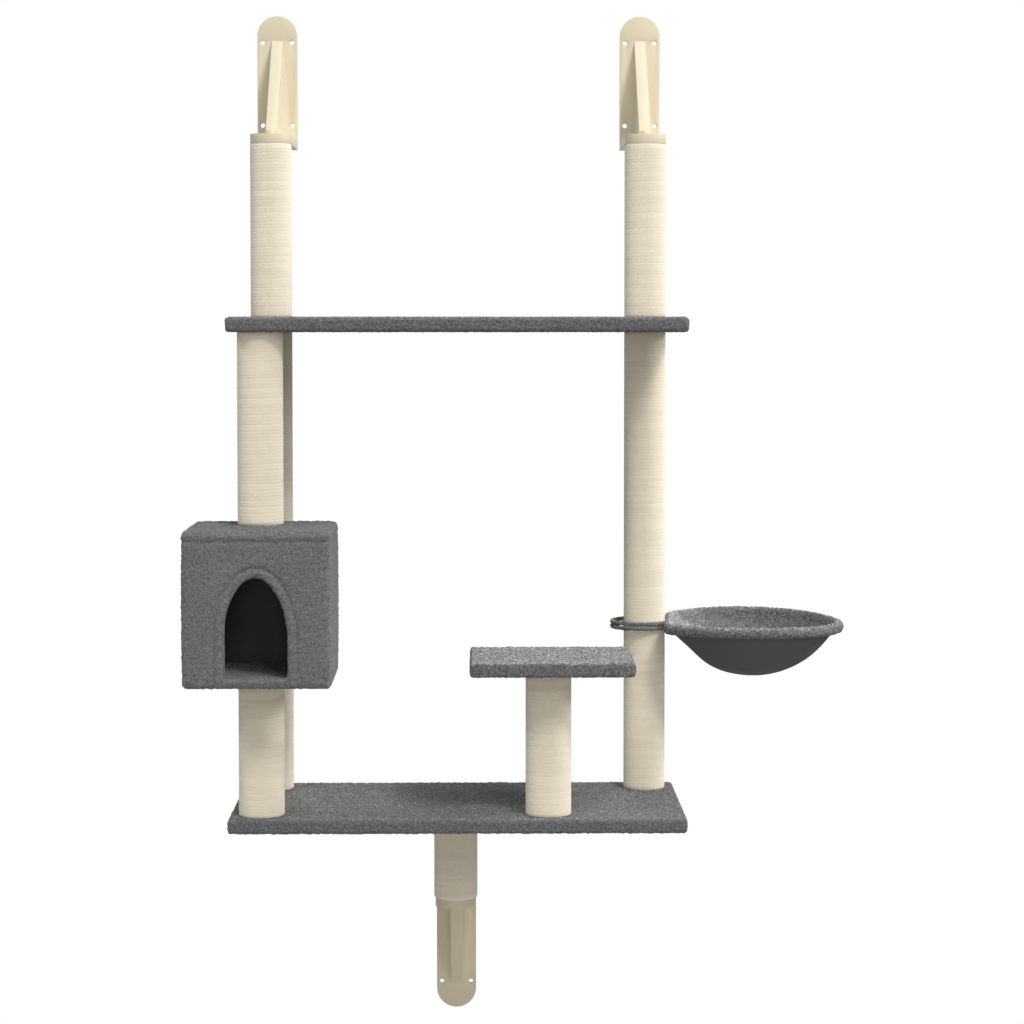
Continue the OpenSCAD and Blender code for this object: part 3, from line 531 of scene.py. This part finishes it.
def wound_post(node):
    """The cord of one post, wound where the frame has its plain sleeve."""
    low, high, mid = node_size(node)
    outer = (high.x - low.x) / 2
    turns = math.ceil((high.z - low.z) / CORD_PITCH) + 1
    start = mid.z - turns * CORD_PITCH / 2
    drop_selection()
    bpy.ops.mesh.primitive_circle_add(
        vertices=SIDES, radius=CORD_HALF_TALL, location=(outer - CORD_HALF_DEEP, 0, start),
        rotation=(math.radians(90), 0, 0),
    )
    bpy.context.object.scale = (CORD_HALF_DEEP / CORD_HALF_TALL, 1, 1)
    cord = place_for_good(bpy.context.object)
    finish_modifier(
        cord, "SCREW", angle=math.radians(360), screw_offset=CORD_PITCH, iterations=turns,
        steps=STEPS, render_steps=STEPS, use_smooth_shade=True,
    )
    hold(cord)
    bpy.ops.object.mode_set(mode="EDIT")
    bpy.ops.mesh.select_all(action="SELECT")
    bpy.ops.mesh.fill_holes(sides=SIDES)
    bpy.ops.mesh.normals_make_consistent(inside=False)
    bpy.ops.object.mode_set(mode="OBJECT")

    def press_ends(points):
        """Presses what is past the sleeve's ends nearly flat, just inside them."""
        inside = np.clip(points[:, 2], low.z + END_GAP, high.z - END_GAP)
        points[:, 2] = inside + (points[:, 2] - inside) * LEFT_PAST_END
        return points

    move_points(cord, press_ends)
    return cord, outer, mid, turns


def mark_winding(cord, outer):
    """Stores how far along and round the cord each point lies, for the cord's pattern."""
    index = np.arange(len(cord.data.vertices))
    along = index // SIDES / STEPS * 2 * math.pi * outer
    round_it = (index % SIDES) / SIDES * 2 * math.pi * CORD_HALF_TALL
    values = np.stack([along, round_it, 0 * along], 1)
    layer = cord.data.attributes.new("wound", "FLOAT_VECTOR", "POINT")
    layer.data.foreach_set("vector", values.astype(np.float32).ravel())


for post in ("upper_left", "upper_right", "rear_left", "rear_right",
             "house_lower", "house_upper", "step", "lower"):
    cord, outer, mid, turns = wound_post(post + "_rope")
    mark_winding(cord, outer)
    cord.location = (mid.x, mid.y, 0)
    dress(cord, post + "_wound_cord", cord_finish, "rope", "tree", post + "_rope")
    print("  ", turns, "turns")

# %% [markdown]
# A covered board is a chipboard core in a tight plush cover. The cover starts as a box of the
# cover's outer size, a little more for the pile, with its edges softened. A remesh gives it an
# even net of small faces, and a cloud pattern then lifts and sinks them by about a millimetre,
# which is what the pile does to the outline. The board's own shape is joined in, turned inside
# out, so the cover is a closed, thin skin as the real one is.

# %% Covered boards
FUZZ = 0.0034
COVER_EDGE = 0.005
COVER_THIN = 0.0014
PILE_BELOW, PILE_ABOVE = Vector((0, 0, 0.0008)), Vector((0, 0, 0.0014))
STEP_CELL, PLATFORM_CELL = 0.0018, 0.00235
tuft_clouds = bpy.data.textures.new("tuft_clouds", "CLOUDS")
tuft_clouds.noise_scale = 0.0045
tuft_clouds.noise_depth = 1


def block_between(low, high):
    """A plain block between two corners."""
    drop_selection()
    bpy.ops.mesh.primitive_cube_add(size=1, location=(low + high) / 2, scale=high - low)
    return place_for_good(bpy.context.object)


def even_net(piece, cell):
    """Makes the piece's surface an even net of faces, about a cell wide."""
    return finish_modifier(piece, "REMESH", mode="VOXEL", voxel_size=cell, use_smooth_shade=True)


def soft_block(low, high, edge, cell):
    """A block with soft edges, as an even net of faces."""
    block = block_between(low, high)
    finish_modifier(block, "BEVEL", width=edge, segments=4, limit_method="ANGLE",
                    angle_limit=math.radians(50))
    return even_net(block, cell)


def ruffle(piece, strength, texture):
    """Lifts and sinks the pile along the surface."""
    return finish_modifier(piece, "DISPLACE", texture=texture, texture_coords="LOCAL",
                           strength=strength, mid_level=0.5)


def keep_off(low, high, round_by, gap):
    """A rule that keeps points at least a gap outside a rounded box."""
    low, high = np.array(low) + round_by, np.array(high) - round_by

    def rule(points):
        nearest = np.clip(points, low, high)
        away = points - nearest
        reach = np.linalg.norm(away, axis=1)
        wanted = round_by + gap
        short = (reach < wanted) & (reach > 1e-9)
        points[short] = nearest[short] + away[short] * (wanted / reach[short])[:, None]
        return points

    return rule


for board, finish, cell in (("top_platform", plush_with_shaded_tops, PLATFORM_CELL),
                            ("bottom_platform", plush_with_shaded_tops, PLATFORM_CELL),
                            ("step", grey_plush, STEP_CELL)):
    low, high, _ = node_size(board + "_cover")
    core_low, core_high, _ = node_size(board + "_board")
    cover = soft_block(low - PILE_BELOW, high + PILE_ABOVE, COVER_EDGE, cell)
    ruffle(cover, FUZZ, tuft_clouds)
    move_points(cover, keep_off(core_low, core_high, 0, COVER_THIN))
    core = hold(copy_of(board + "_board"))
    bpy.ops.object.mode_set(mode="EDIT")
    bpy.ops.mesh.select_all(action="SELECT")
    bpy.ops.mesh.flip_normals()
    bpy.ops.object.mode_set(mode="OBJECT")
    hold(cover)
    core.select_set(True)
    bpy.ops.object.join()
    dress(cover, board + "_plush_cover", finish, "plush", "tree", board + "_cover")
    bpy.ops.object.shade_smooth_by_angle(angle=math.radians(60))

# %% [markdown]
# The house is a box of boards in one plush cover, with a tall arched doorway. Its cover is made
# in the same way as the boards': a softened box, from which the doorway is cut as a hole, then
# an even net, and the pile on top. The front bulges a little, because the cover is padded
# there, and a stitched hem runs round the doorway: a band a centimetre wide with a crease
# outside it.

# %% House cover
house_low, house_high, house_mid = node_size("house_cover")
lining_low, lining_high, lining_mid = node_size("house_lining")
DOOR_X, DOOR_HALF = house_mid.x - 0.0018, 0.0478
SILL_Z, SPRING_Z, APEX_Z = 0.5143, 0.576, 0.6655
# The arch is a superellipse: 2 is an ellipse, and less is more pointed
POINTED = 1.85
ARCH_STEPS = 32
# How deep into the room the doorway is cut, and the part of the cut that gets no cover
CUT_PAST, BARE_FROM, BARE_TO = 0.012, 0.0045, 0.02
BARE_ASIDE, BARE_LOW, BARE_HIGH = 0.005, 0.508, 0.675


def doorway_block(front, back, sill):
    """A solid the shape of the doorway, from front to back."""
    points = [(DOOR_X - DOOR_HALF, sill), (DOOR_X + DOOR_HALF, sill)]
    for step in range(ARCH_STEPS + 1):
        turn = math.pi * step / ARCH_STEPS
        across, up = math.cos(turn), math.sin(turn)
        points.append((
            DOOR_X + DOOR_HALF * math.copysign(abs(across) ** (2 / POINTED), across),
            SPRING_Z + (APEX_Z - SPRING_Z) * abs(up) ** (2 / POINTED),
        ))
    drop_selection()
    bpy.ops.mesh.primitive_circle_add(
        vertices=len(points), radius=1, fill_type="NGON", rotation=(math.radians(90), 0, 0),
    )
    block = place_for_good(bpy.context.object)
    for vertex, (x, z) in zip(block.data.vertices, points):
        vertex.co = (x, front, z)
    hold(block)
    bpy.ops.object.mode_set(mode="EDIT")
    bpy.ops.mesh.select_all(action="SELECT")
    bpy.ops.mesh.extrude_region_move(TRANSFORM_OT_translate={"value": (0, back - front, 0)})
    bpy.ops.object.mode_set(mode="OBJECT")
    return face_outwards(block)


def behind_the_panel(corners):
    """Tells the part of the cut that lies deeper than the front panel, where no cover is."""
    return (
        lining_low.y + BARE_FROM < min(c.y for c in corners)
        and max(c.y for c in corners) < lining_low.y + BARE_TO
        and max(abs(c.x - DOOR_X) for c in corners) < DOOR_HALF + BARE_ASIDE
        and BARE_LOW < min(c.z for c in corners)
        and max(c.z for c in corners) < BARE_HIGH
    )


HOUSE_PILE, HOUSE_EDGE = Vector((0, 0, 0.001)), 0.006
BLOCK_CELL, HOUSE_CELL = 0.003, 0.0025
house = soft_block(house_low - HOUSE_PILE, house_high + HOUSE_PILE, HOUSE_EDGE, BLOCK_CELL)
door = doorway_block(house_low.y - 0.02, lining_low.y + CUT_PAST, SILL_Z)
finish_modifier(house, "BOOLEAN", operation="DIFFERENCE", object=door, solver="EXACT")
bpy.data.objects.remove(door)
even_net(house, HOUSE_CELL)
finish_modifier(house, "SMOOTH", factor=0.5, iterations=2)
pick_faces(house, behind_the_panel)
bpy.ops.mesh.delete(type="FACE")
bpy.ops.object.mode_set(mode="OBJECT")
print("doorway:", round(2 * DOOR_HALF, 4), "wide,", round(APEX_Z - SILL_Z, 4), "high")

# %% [markdown]
# The padding and the sewing are moved into the net by formulas, because they follow the
# doorway's outline and the house's edges at set distances in millimetres: a band round the
# doorway, a crease outside it, and a lip along the top with a seam under it. The pile is
# ruffled after that. The walls of the doorway stay smooth, so that the binding lies on them.

# %% House padding, seams and pile
FRONT_BULGE, SIDE_BULGE = 0.0022, 0.0010
PADDED_HALF_WIDE, PADDED_HALF_TALL = 0.105, 0.112
# How far round the edges the shaping of the front and the sides ends, and over how much it fades
FRONT_END, FRONT_FADE = 0.009, 0.006
SIDE_END, SIDE_FADE = 0.006, 0.004
BAND, BAND_AT, BAND_WIDE = 0.0012, 6.5, 5.0
CREASE, CREASE_AT, CREASE_WIDE = -0.0030, 14, 2.6
LIP, LIP_AT, LIP_WIDE = 0.0012, 7, 5
SEAM, SEAM_AT, SEAM_WIDE = 0.0012, 14.5, 3.0
SKIN = 0.0022


def arch_distance(points):
    """About how far outside the doorway's outline each point lies, over the front."""
    x, up = np.abs(points[:, 0] - DOOR_X) / DOOR_HALF, np.clip(points[:, 2] - SPRING_Z, 0, None)
    up = up / (APEX_Z - SPRING_Z)
    level = (x ** POINTED + up ** POINTED) ** (1 / POINTED)
    steep = np.hypot(
        (x / np.maximum(level, 1e-6)) ** (POINTED - 1) / DOOR_HALF,
        (up / np.maximum(level, 1e-6)) ** (POINTED - 1) / (APEX_Z - SPRING_Z),
    )
    return (level - 1) / np.maximum(steep, 1e-6)


def ridge(distance, middle, wide, power):
    """A rounded ridge of height 1 across a distance; a power of 4 gives it a flatter top."""
    return np.exp(-((distance - middle) / wide) ** power)


def hem_and_padding(points):
    """Bulges the front, lifts the hem round the doorway and sinks its crease."""
    off_middle = points[:, 0] - house_mid.x
    on_front = np.clip((house_low.y + FRONT_END - points[:, 1]) / FRONT_FADE, 0, 1)
    across = np.clip(1 - (off_middle / PADDED_HALF_WIDE) ** 2, 0, 1)
    upright = np.clip(1 - ((points[:, 2] - house_mid.z) / PADDED_HALF_TALL) ** 2, 0, 1)
    away = arch_distance(points) * PER_MM
    bulge = FRONT_BULGE * np.sqrt(across * upright)
    crease = CREASE * ridge(away, CREASE_AT, CREASE_WIDE, 2)
    band = BAND * ridge(away, BAND_AT, BAND_WIDE, 4)
    below_top = (house_high.z - points[:, 2]) * PER_MM
    lip = LIP * ridge(below_top, LIP_AT, LIP_WIDE, 4)
    seam = SEAM * ridge(below_top, SEAM_AT, SEAM_WIDE, 2)
    made = points.copy()
    made[:, 1] -= on_front * (bulge + crease + band + (lip - seam))
    side_bulge = SIDE_BULGE * upright * np.sign(off_middle)
    past_edge = np.abs(off_middle) - (house_high.x - house_mid.x)
    on_side = np.clip((past_edge + SIDE_END) / SIDE_FADE, 0, 1)
    made[:, 0] += on_side * side_bulge
    return made


BOX_IN, BOX_ROUND, BOX_GAP = Vector((0.0025,) * 3), 0.0075, 0.0012
off_box = keep_off(house_low + BOX_IN, house_high - BOX_IN, BOX_ROUND, BOX_GAP)
# The doorway's walls lie this near its outline, above this height, this far behind the front
WALL_NEAR, WALL_ABOVE, WALL_BEHIND = 0.0015, 0.512, 0.0035
calm = []


def note(points):
    """Keeps the points as they are before the pile."""
    calm.append(points.copy())
    return points


def outside_boards(points):
    """Keeps the outer skin off the boards, and the doorway's own walls smooth."""
    before = calm[-1]
    in_doorway = (arch_distance(before) < WALL_NEAR) & (before[:, 2] > WALL_ABOVE)
    in_wall = in_doorway & (before[:, 1] > house_low.y + WALL_BEHIND)
    return np.where(in_wall[:, None], before, off_box(points.copy()))


move_points(house, hem_and_padding)
move_points(house, note)
ruffle(house, FUZZ, tuft_clouds)
move_points(house, outside_boards)
finish_modifier(house, "SOLIDIFY", thickness=SKIN, offset=-1)
dress(house, "house_plush_cover", brushed_plush, "plush", "tree", "house_cover")
bpy.ops.object.shade_smooth_by_angle(angle=math.radians(60))

# %% [markdown]
# Inside, the room is lined with thin black cloth on its back, sides and ceiling, and open to
# the front. It is a box without its front face and floor, set just inside the boards, and given
# its thickness inwards. A plush mat covers the floor and runs out over the sill.

# %% House lining, mat and doorway binding
LINING_FOLDS, LINING_THIN = 0.0012, 0.0008
BINDING_CELL = 0.0015
soft_folds = bpy.data.textures.new("soft_folds", "CLOUDS")
soft_folds.noise_scale = 0.05
lining = block_between(lining_low, lining_high)
pick_faces(lining, lambda corners: max(c.y for c in corners) < lining_mid.y
           or max(c.z for c in corners) < lining_mid.z)
bpy.ops.mesh.delete(type="FACE")
bpy.ops.mesh.select_all(action="SELECT")
bpy.ops.mesh.subdivide(number_cuts=24)
bpy.ops.object.mode_set(mode="OBJECT")
finish_modifier(lining, "DISPLACE", texture=soft_folds, texture_coords="LOCAL",
                strength=-LINING_FOLDS, mid_level=0.0)
finish_modifier(lining, "SOLIDIFY", thickness=LINING_THIN, offset=-1)
dress(lining, "house_black_lining", black_cloth, "black_cloth", "tree", "house_lining")

mat_low, mat_high, _ = node_size("house_floor_mat")
mat = block_between(mat_low, mat_high)
finish_modifier(mat, "BEVEL", width=(mat_high.z - mat_low.z) * 0.4, segments=3,
                limit_method="ANGLE")
hold(mat)
bpy.ops.object.mode_set(mode="EDIT")
bpy.ops.mesh.select_all(action="SELECT")
bpy.ops.mesh.quads_convert_to_tris()
bpy.ops.mesh.subdivide(number_cuts=28)
bpy.ops.object.mode_set(mode="OBJECT")
ruffle(mat, FUZZ * 0.3, tuft_clouds)
dress(mat, "house_plush_mat", mat_plush, "plush", "tree", "house_floor_mat")

binding = even_net(copy_of("doorway_binding"), BINDING_CELL)
finish_modifier(binding, "SMOOTH", factor=0.5, iterations=4)
ruffle(binding, FUZZ * 0.2, tuft_clouds)
dress(binding, "doorway_plush_binding", brushed_plush, "plush", "tree", "doorway_binding")

# %% [markdown]
# The brackets are moulded, so their edges are slightly round. The frame's own shape is kept and
# cleaned: doubled points merged and flat faces joined, so that one bevel can run along every
# sharp edge.

# %% Brackets
BRACKET_EDGE = 0.0011
for side in ("upper_left", "upper_right", "lower"):
    node = "bracket_" + side
    bracket = hold(copy_of(node))
    bpy.ops.object.mode_set(mode="EDIT")
    bpy.ops.mesh.select_all(action="SELECT")
    bpy.ops.mesh.dissolve_limited(angle_limit=math.radians(1))
    bpy.ops.object.mode_set(mode="OBJECT")
    finish_modifier(bracket, "BEVEL", width=BRACKET_EDGE, segments=3, limit_method="ANGLE",
                    angle_limit=math.radians(35))
    dress(bracket, "moulded_" + node, cream_plastic, "cream_plastic", "tree", node)
    bpy.ops.object.shade_smooth_by_angle(angle=math.radians(35))

# %% [markdown]
# The hammock is a bowl of plush and felt that hangs from a padded ring. The ring is flat on the
# side by the post and round elsewhere, and turns on the post. All of it is modelled in the
# hammock's own frame, with X away from the post, and then turned into place with the
# transform operators' own steps. Half of the ring is enough: its cross-section is extruded along
# the flat side, spun round the tight corner and then round the ring, and mirrored.

# %% Hammock rim
PIVOT = Vector((0.306, -0.155, 0.5542))
SWING, DROOP, ROLL = math.radians(-4.75), math.radians(0.2), math.radians(-0.3)
RING_BOW = 0.004
# The frame has its wire a little lower at the post, and drooping more
WIRE_PIVOT, WIRE_DROOP = np.array((0.306, -0.155, 0.552)), math.radians(1.2)
RING_R, RING_X, FLAT_X = 0.150, 0.163, 0.03978
CORNER_X, CORNER_Y, CORNER_TURN = 0.0648, 0.0773, math.radians(141.8)
HEM_R, HEM_PILE, HEM_CELL = 0.0085, 0.0004, 0.0017
POST_CLEAR = 0.0340


def hang_on_post(points):
    """From the hammock's own frame to its place on the tree, where its ring bows a little."""
    x, y, z = points.T
    z = z + RING_BOW * (y / RING_R) ** 2 - y * math.sin(ROLL)
    x, z = x * math.cos(DROOP) + z * math.sin(DROOP), z * math.cos(DROOP) - x * math.sin(DROOP)
    return np.stack([
        PIVOT.x + x * math.cos(SWING) - y * math.sin(SWING),
        PIVOT.y + x * math.sin(SWING) + y * math.cos(SWING),
        PIVOT.z + z,
    ], 1)


def clear_of_post(points):
    """Presses in what would reach into the post."""
    reach = np.hypot(points[:, 0], points[:, 1])
    made = points.copy()
    made[:, :2] *= np.maximum(1, POST_CLEAR / np.maximum(reach, 1e-6))[:, None]
    return made


def off_post(points):
    """From the frame's place for the hammock back to the hammock's own frame."""
    x, y, z = (points - WIRE_PIVOT).T
    x, y = x * math.cos(SWING) + y * math.sin(SWING), y * math.cos(SWING) - x * math.sin(SWING)
    return np.stack([
        x * math.cos(WIRE_DROOP) - z * math.sin(WIRE_DROOP),
        y,
        z * math.cos(WIRE_DROOP) + x * math.sin(WIRE_DROOP),
    ], 1)


wire = copy_of("hammock_frame")
move_points(wire, off_post)
move_points(wire, hang_on_post)
dress(wire, "hammock_steel_wire", zinc, "steel", "hammock", "hammock_frame")
bpy.ops.object.shade_smooth_by_angle(angle=math.radians(40))

rim_bumps = bpy.data.textures.new("rim_bumps", "CLOUDS")
rim_bumps.noise_scale = 0.006
rim_bumps.noise_depth = 2
drop_selection()
bpy.ops.mesh.primitive_circle_add(
    vertices=20, radius=HEM_R - HEM_PILE, location=(FLAT_X, 0, 0),
    rotation=(math.radians(90), 0, 0),
)
rim = hold(place_for_good(bpy.context.object))
bpy.ops.object.mode_set(mode="EDIT")
bpy.ops.mesh.select_all(action="SELECT")
bpy.ops.mesh.extrude_edges_move(TRANSFORM_OT_translate={"value": (0, CORNER_Y, 0)})
bpy.ops.mesh.spin(steps=10, angle=math.pi - CORNER_TURN, center=(CORNER_X, CORNER_Y, 0),
                  axis=(0, 0, 1))
bpy.ops.mesh.spin(steps=60, angle=CORNER_TURN, center=(RING_X, 0, 0), axis=(0, 0, 1))
bpy.ops.object.mode_set(mode="OBJECT")
finish_modifier(rim, "MIRROR", use_axis=(False, True, False), use_clip=True,
                merge_threshold=0.0005)
even_net(face_outwards(rim), HEM_CELL)
ruffle(rim, FUZZ, rim_bumps)
move_points(rim, clear_of_post)
move_points(rim, hang_on_post)
dress(rim, "hammock_plush_rim", grey_plush, "plush", "hammock", "hammock_rim_sleeve")

# %% [markdown]
# Two padded loops reach round the post from the ring's flat side, one just above the other.
# Each is a round strand swept about the post, with the same soft pile.

# %% Hammock loops
LOOP_R, LOOP_X, STRAND_R, LOOP_Z = 0.0442, -0.0078, 0.0034, 0.0036
LOOP_FUZZ = 0.0014
for side, name in ((1, "upper"), (-1, "lower")):
    drop_selection()
    bpy.ops.mesh.primitive_torus_add(
        major_segments=160, minor_segments=16, major_radius=LOOP_R, minor_radius=STRAND_R,
        location=(LOOP_X, 0, side * LOOP_Z),
    )
    strand = place_for_good(bpy.context.object)
    ruffle(strand, LOOP_FUZZ, rim_bumps)
    move_points(strand, clear_of_post)
    move_points(strand, hang_on_post)
    dress(strand, "hammock_" + name + "_plush_loop", grey_plush, "plush", "hammock",
          "hammock_" + name + "_loop_sleeve")

# %% [markdown]
# The bowl is two skins that hang from the hem: plush inside, felt outside. Each starts as the
# ring's outline, drawn in to where the cloth meets the hem. The edge is then extruded inwards
# and down, row after row, as the cloth hangs: steep by the rim and nearly level in the middle.
# Subdivision rounds the rows into one sheet. The felt is pulled smooth. The plush is a little
# loose, with shallow folds that run down from the flat corners.

# %% Hammock bowl
BOWL_MID, BOWL_R = 0.17639, 0.136
EDGE_DROP, BOWL_DEPTH = 0.00578, 0.0812
FLAT_REACH = BOWL_MID - FLAT_X
HEM_IN = 0.00714
# How far each skin's middle lies above the bowl's lowest surface, and how thick it is
FELT_RISE, FELT_THICK = 0.0007, 0.0014
PLUSH_RISE, PLUSH_THICK = 0.0018 + 0.0025, 0.0016
PLUSH_FUZZ = 0.0030
DRAWN_IN = 0.012
SLACK_FOLDS, SHALLOW_FOLDS, POST_FOLDS = 0.0060, 0.0014, 0.0030
# How strong the painted highlight on the bowl's inner side by the post is
HIGHLIGHT_STRENGTH = 1.3
# Folds and streaks are waves: a number before "turn" counts them round the bowl, and one
# before "out" slants them as they run in towards the middle
# Rows of the plush over the rim: share of the ring's outline, height
OVER_RIM = [(1.004, 0.0076), (0.985, 0.0088), (0.962, 0.0074), (0.942, 0.0034), (0.928, -0.0012)]
# Rows of the bowl: share of its edge, share of its depth
SHARES = [
    (1, 0), (0.955, 0.11), (0.905, 0.225), (0.80, 0.43), (0.70, 0.58), (0.58, 0.72),
    (0.46, 0.825), (0.34, 0.905), (0.22, 0.96), (0.11, 0.99),
]


def on_outline(points):
    """Draws a round of points to the ring's D-shaped middle line."""
    turn = np.arctan2(points[:, 1], points[:, 0] - BOWL_MID)
    way = np.stack([np.cos(turn), np.sin(turn)], 1)

    def to_circle(x, y, radius):
        """How far a circle lies from the bowl's middle, along each direction."""
        ahead = way[:, 0] * x + np.abs(way[:, 1]) * y
        return ahead + np.sqrt(np.maximum(ahead ** 2 - x * x - y * y + radius ** 2, 0))

    ring = to_circle(RING_X - BOWL_MID, 0, RING_R)
    corner = to_circle(CORNER_X - BOWL_MID, CORNER_Y, CORNER_X - FLAT_X)
    flat = FLAT_REACH / np.maximum(-way[:, 0], 0.001)
    ring_end = math.atan2(
        RING_R * math.sin(CORNER_TURN),
        RING_X - BOWL_MID + RING_R * math.cos(CORNER_TURN),
    )
    flat_end = math.atan2(CORNER_Y, -FLAT_REACH)
    reach = np.where(np.abs(turn) < ring_end, ring, np.where(np.abs(turn) < flat_end, corner, flat))
    return np.stack([BOWL_MID + reach * way[:, 0], reach * way[:, 1], points[:, 2]], 1)


def bowl_skin(rise, over_rim):
    """One sheet of the bowl, from its rows over the rim, if it has any, to its middle."""
    def draw_in(share):
        """Scales the chosen row towards the bowl's middle."""
        bpy.ops.transform.resize(value=(share, share, 1), center_override=(BOWL_MID, 0, 0))

    def extrude_down(down):
        """Extrudes the chosen row, straight down or up."""
        bpy.ops.mesh.extrude_edges_move(TRANSFORM_OT_translate={"value": (0, 0, down)})

    edge = 1 - (HEM_IN + rise) / FLAT_REACH
    deep = BOWL_DEPTH - EDGE_DROP - rise
    rows = over_rim + [(edge * reach, -EDGE_DROP - deep * drop) for reach, drop in SHARES]
    drop_selection()
    bpy.ops.mesh.primitive_circle_add(vertices=96, radius=0.13, location=(BOWL_MID, 0, rows[0][1]))
    skin = place_for_good(bpy.context.object)
    move_points(skin, on_outline)
    hold(skin)
    bpy.ops.object.mode_set(mode="EDIT")
    bpy.ops.mesh.select_all(action="SELECT")
    draw_in(rows[0][0])
    for (before, above), (reach, height) in zip(rows, rows[1:]):
        extrude_down(height - above)
        draw_in(reach / before)
    extrude_down(rise - BOWL_DEPTH - rows[-1][1])
    bpy.ops.mesh.merge(type="CENTER")
    bpy.ops.object.mode_set(mode="OBJECT")
    finish_modifier(skin, "SUBSURF", levels=2, render_levels=2)
    hold(skin)
    bpy.ops.object.shade_smooth()
    return skin


def drawn_in(points):
    """The cloth runs down more slantwise by the post, where the ring is flat."""
    x, z = points[:, 0], points[:, 2]
    by_post = np.clip((BOWL_MID - x) / FLAT_REACH, 0, 1)
    down = np.clip((-EDGE_DROP - z) / (BOWL_DEPTH - EDGE_DROP), 0, 1)
    half_way = np.sin(math.pi * down) ** 1.5
    made = points.copy()
    made[:, 0] += DRAWN_IN * half_way * by_post ** 2
    return made


def loose_folds(points):
    """Folds in the plush that run down from the flat side, and shallow ones elsewhere."""
    x, y = points[:, 0] - BOWL_MID, points[:, 1]
    out = np.clip(np.hypot(x, y) / BOWL_R, 0, 1)
    turn = np.arctan2(y, -x)
    by_post = np.exp(-(turn / 1.3) ** 2)
    deep = np.sin(math.pi * out) ** 2
    below_hem = np.sin(math.pi * np.clip((0.98 - out) / 0.42, 0, 1))
    waves = np.clip(np.sin(15 * turn + 26 * out) + 0.3, 0, 2)
    slack = SLACK_FOLDS * by_post * waves * below_hem
    shallow = SHALLOW_FOLDS * np.sin(7 * turn + 2.5 * out)
    near_post = POST_FOLDS * by_post * np.sin(12 * turn + 5 * out)
    made = points.copy()
    made[:, 0] -= slack * x / BOWL_R
    made[:, 1] -= slack * y / BOWL_R
    made[:, 2] += deep * (shallow + near_post)
    return made


def paint_highlight(piece, strongest):
    """Stores a painted highlight: lighter pile on the bowl's inner side by the post, in streaks."""
    points = np.empty(len(piece.data.vertices) * 3)
    piece.data.vertices.foreach_get("co", points)
    x, y, z = points.reshape(-1, 3).T
    x = x - BOWL_MID
    turn, out = np.arctan2(y, -x), np.hypot(x, y) / BOWL_R
    streaks = 0.65 + 0.35 * np.sin(19 * turn + 26 * out)
    high_up = np.clip((z + 0.05) / 0.03, 0, 1)
    amount = strongest * np.exp(-(turn / 0.85) ** 4) * streaks * high_up
    layer = piece.data.attributes.new("painted_highlight", "FLOAT", "POINT")
    layer.data.foreach_set("value", amount.astype(np.float32))


plush_skin = bowl_skin(PLUSH_RISE, OVER_RIM)
move_points(plush_skin, loose_folds)
move_points(plush_skin, drawn_in)
ruffle(plush_skin, PLUSH_FUZZ, rim_bumps)
face_outwards(plush_skin)
finish_modifier(plush_skin, "SOLIDIFY", thickness=PLUSH_THICK, offset=0)
paint_highlight(plush_skin, HIGHLIGHT_STRENGTH)
move_points(plush_skin, clear_of_post)
move_points(plush_skin, hang_on_post)
dress(plush_skin, "hammock_bowl_plush", grey_plush, "plush", "hammock", "hammock_bowl_lining")

felt_skin = bowl_skin(FELT_RISE, [])
move_points(felt_skin, drawn_in)
face_outwards(felt_skin)
finish_modifier(felt_skin, "SOLIDIFY", thickness=FELT_THICK, offset=0)
move_points(felt_skin, hang_on_post)
dress(felt_skin, "hammock_bowl_felt", felt, "felt", "hammock", "hammock_bowl_underside")
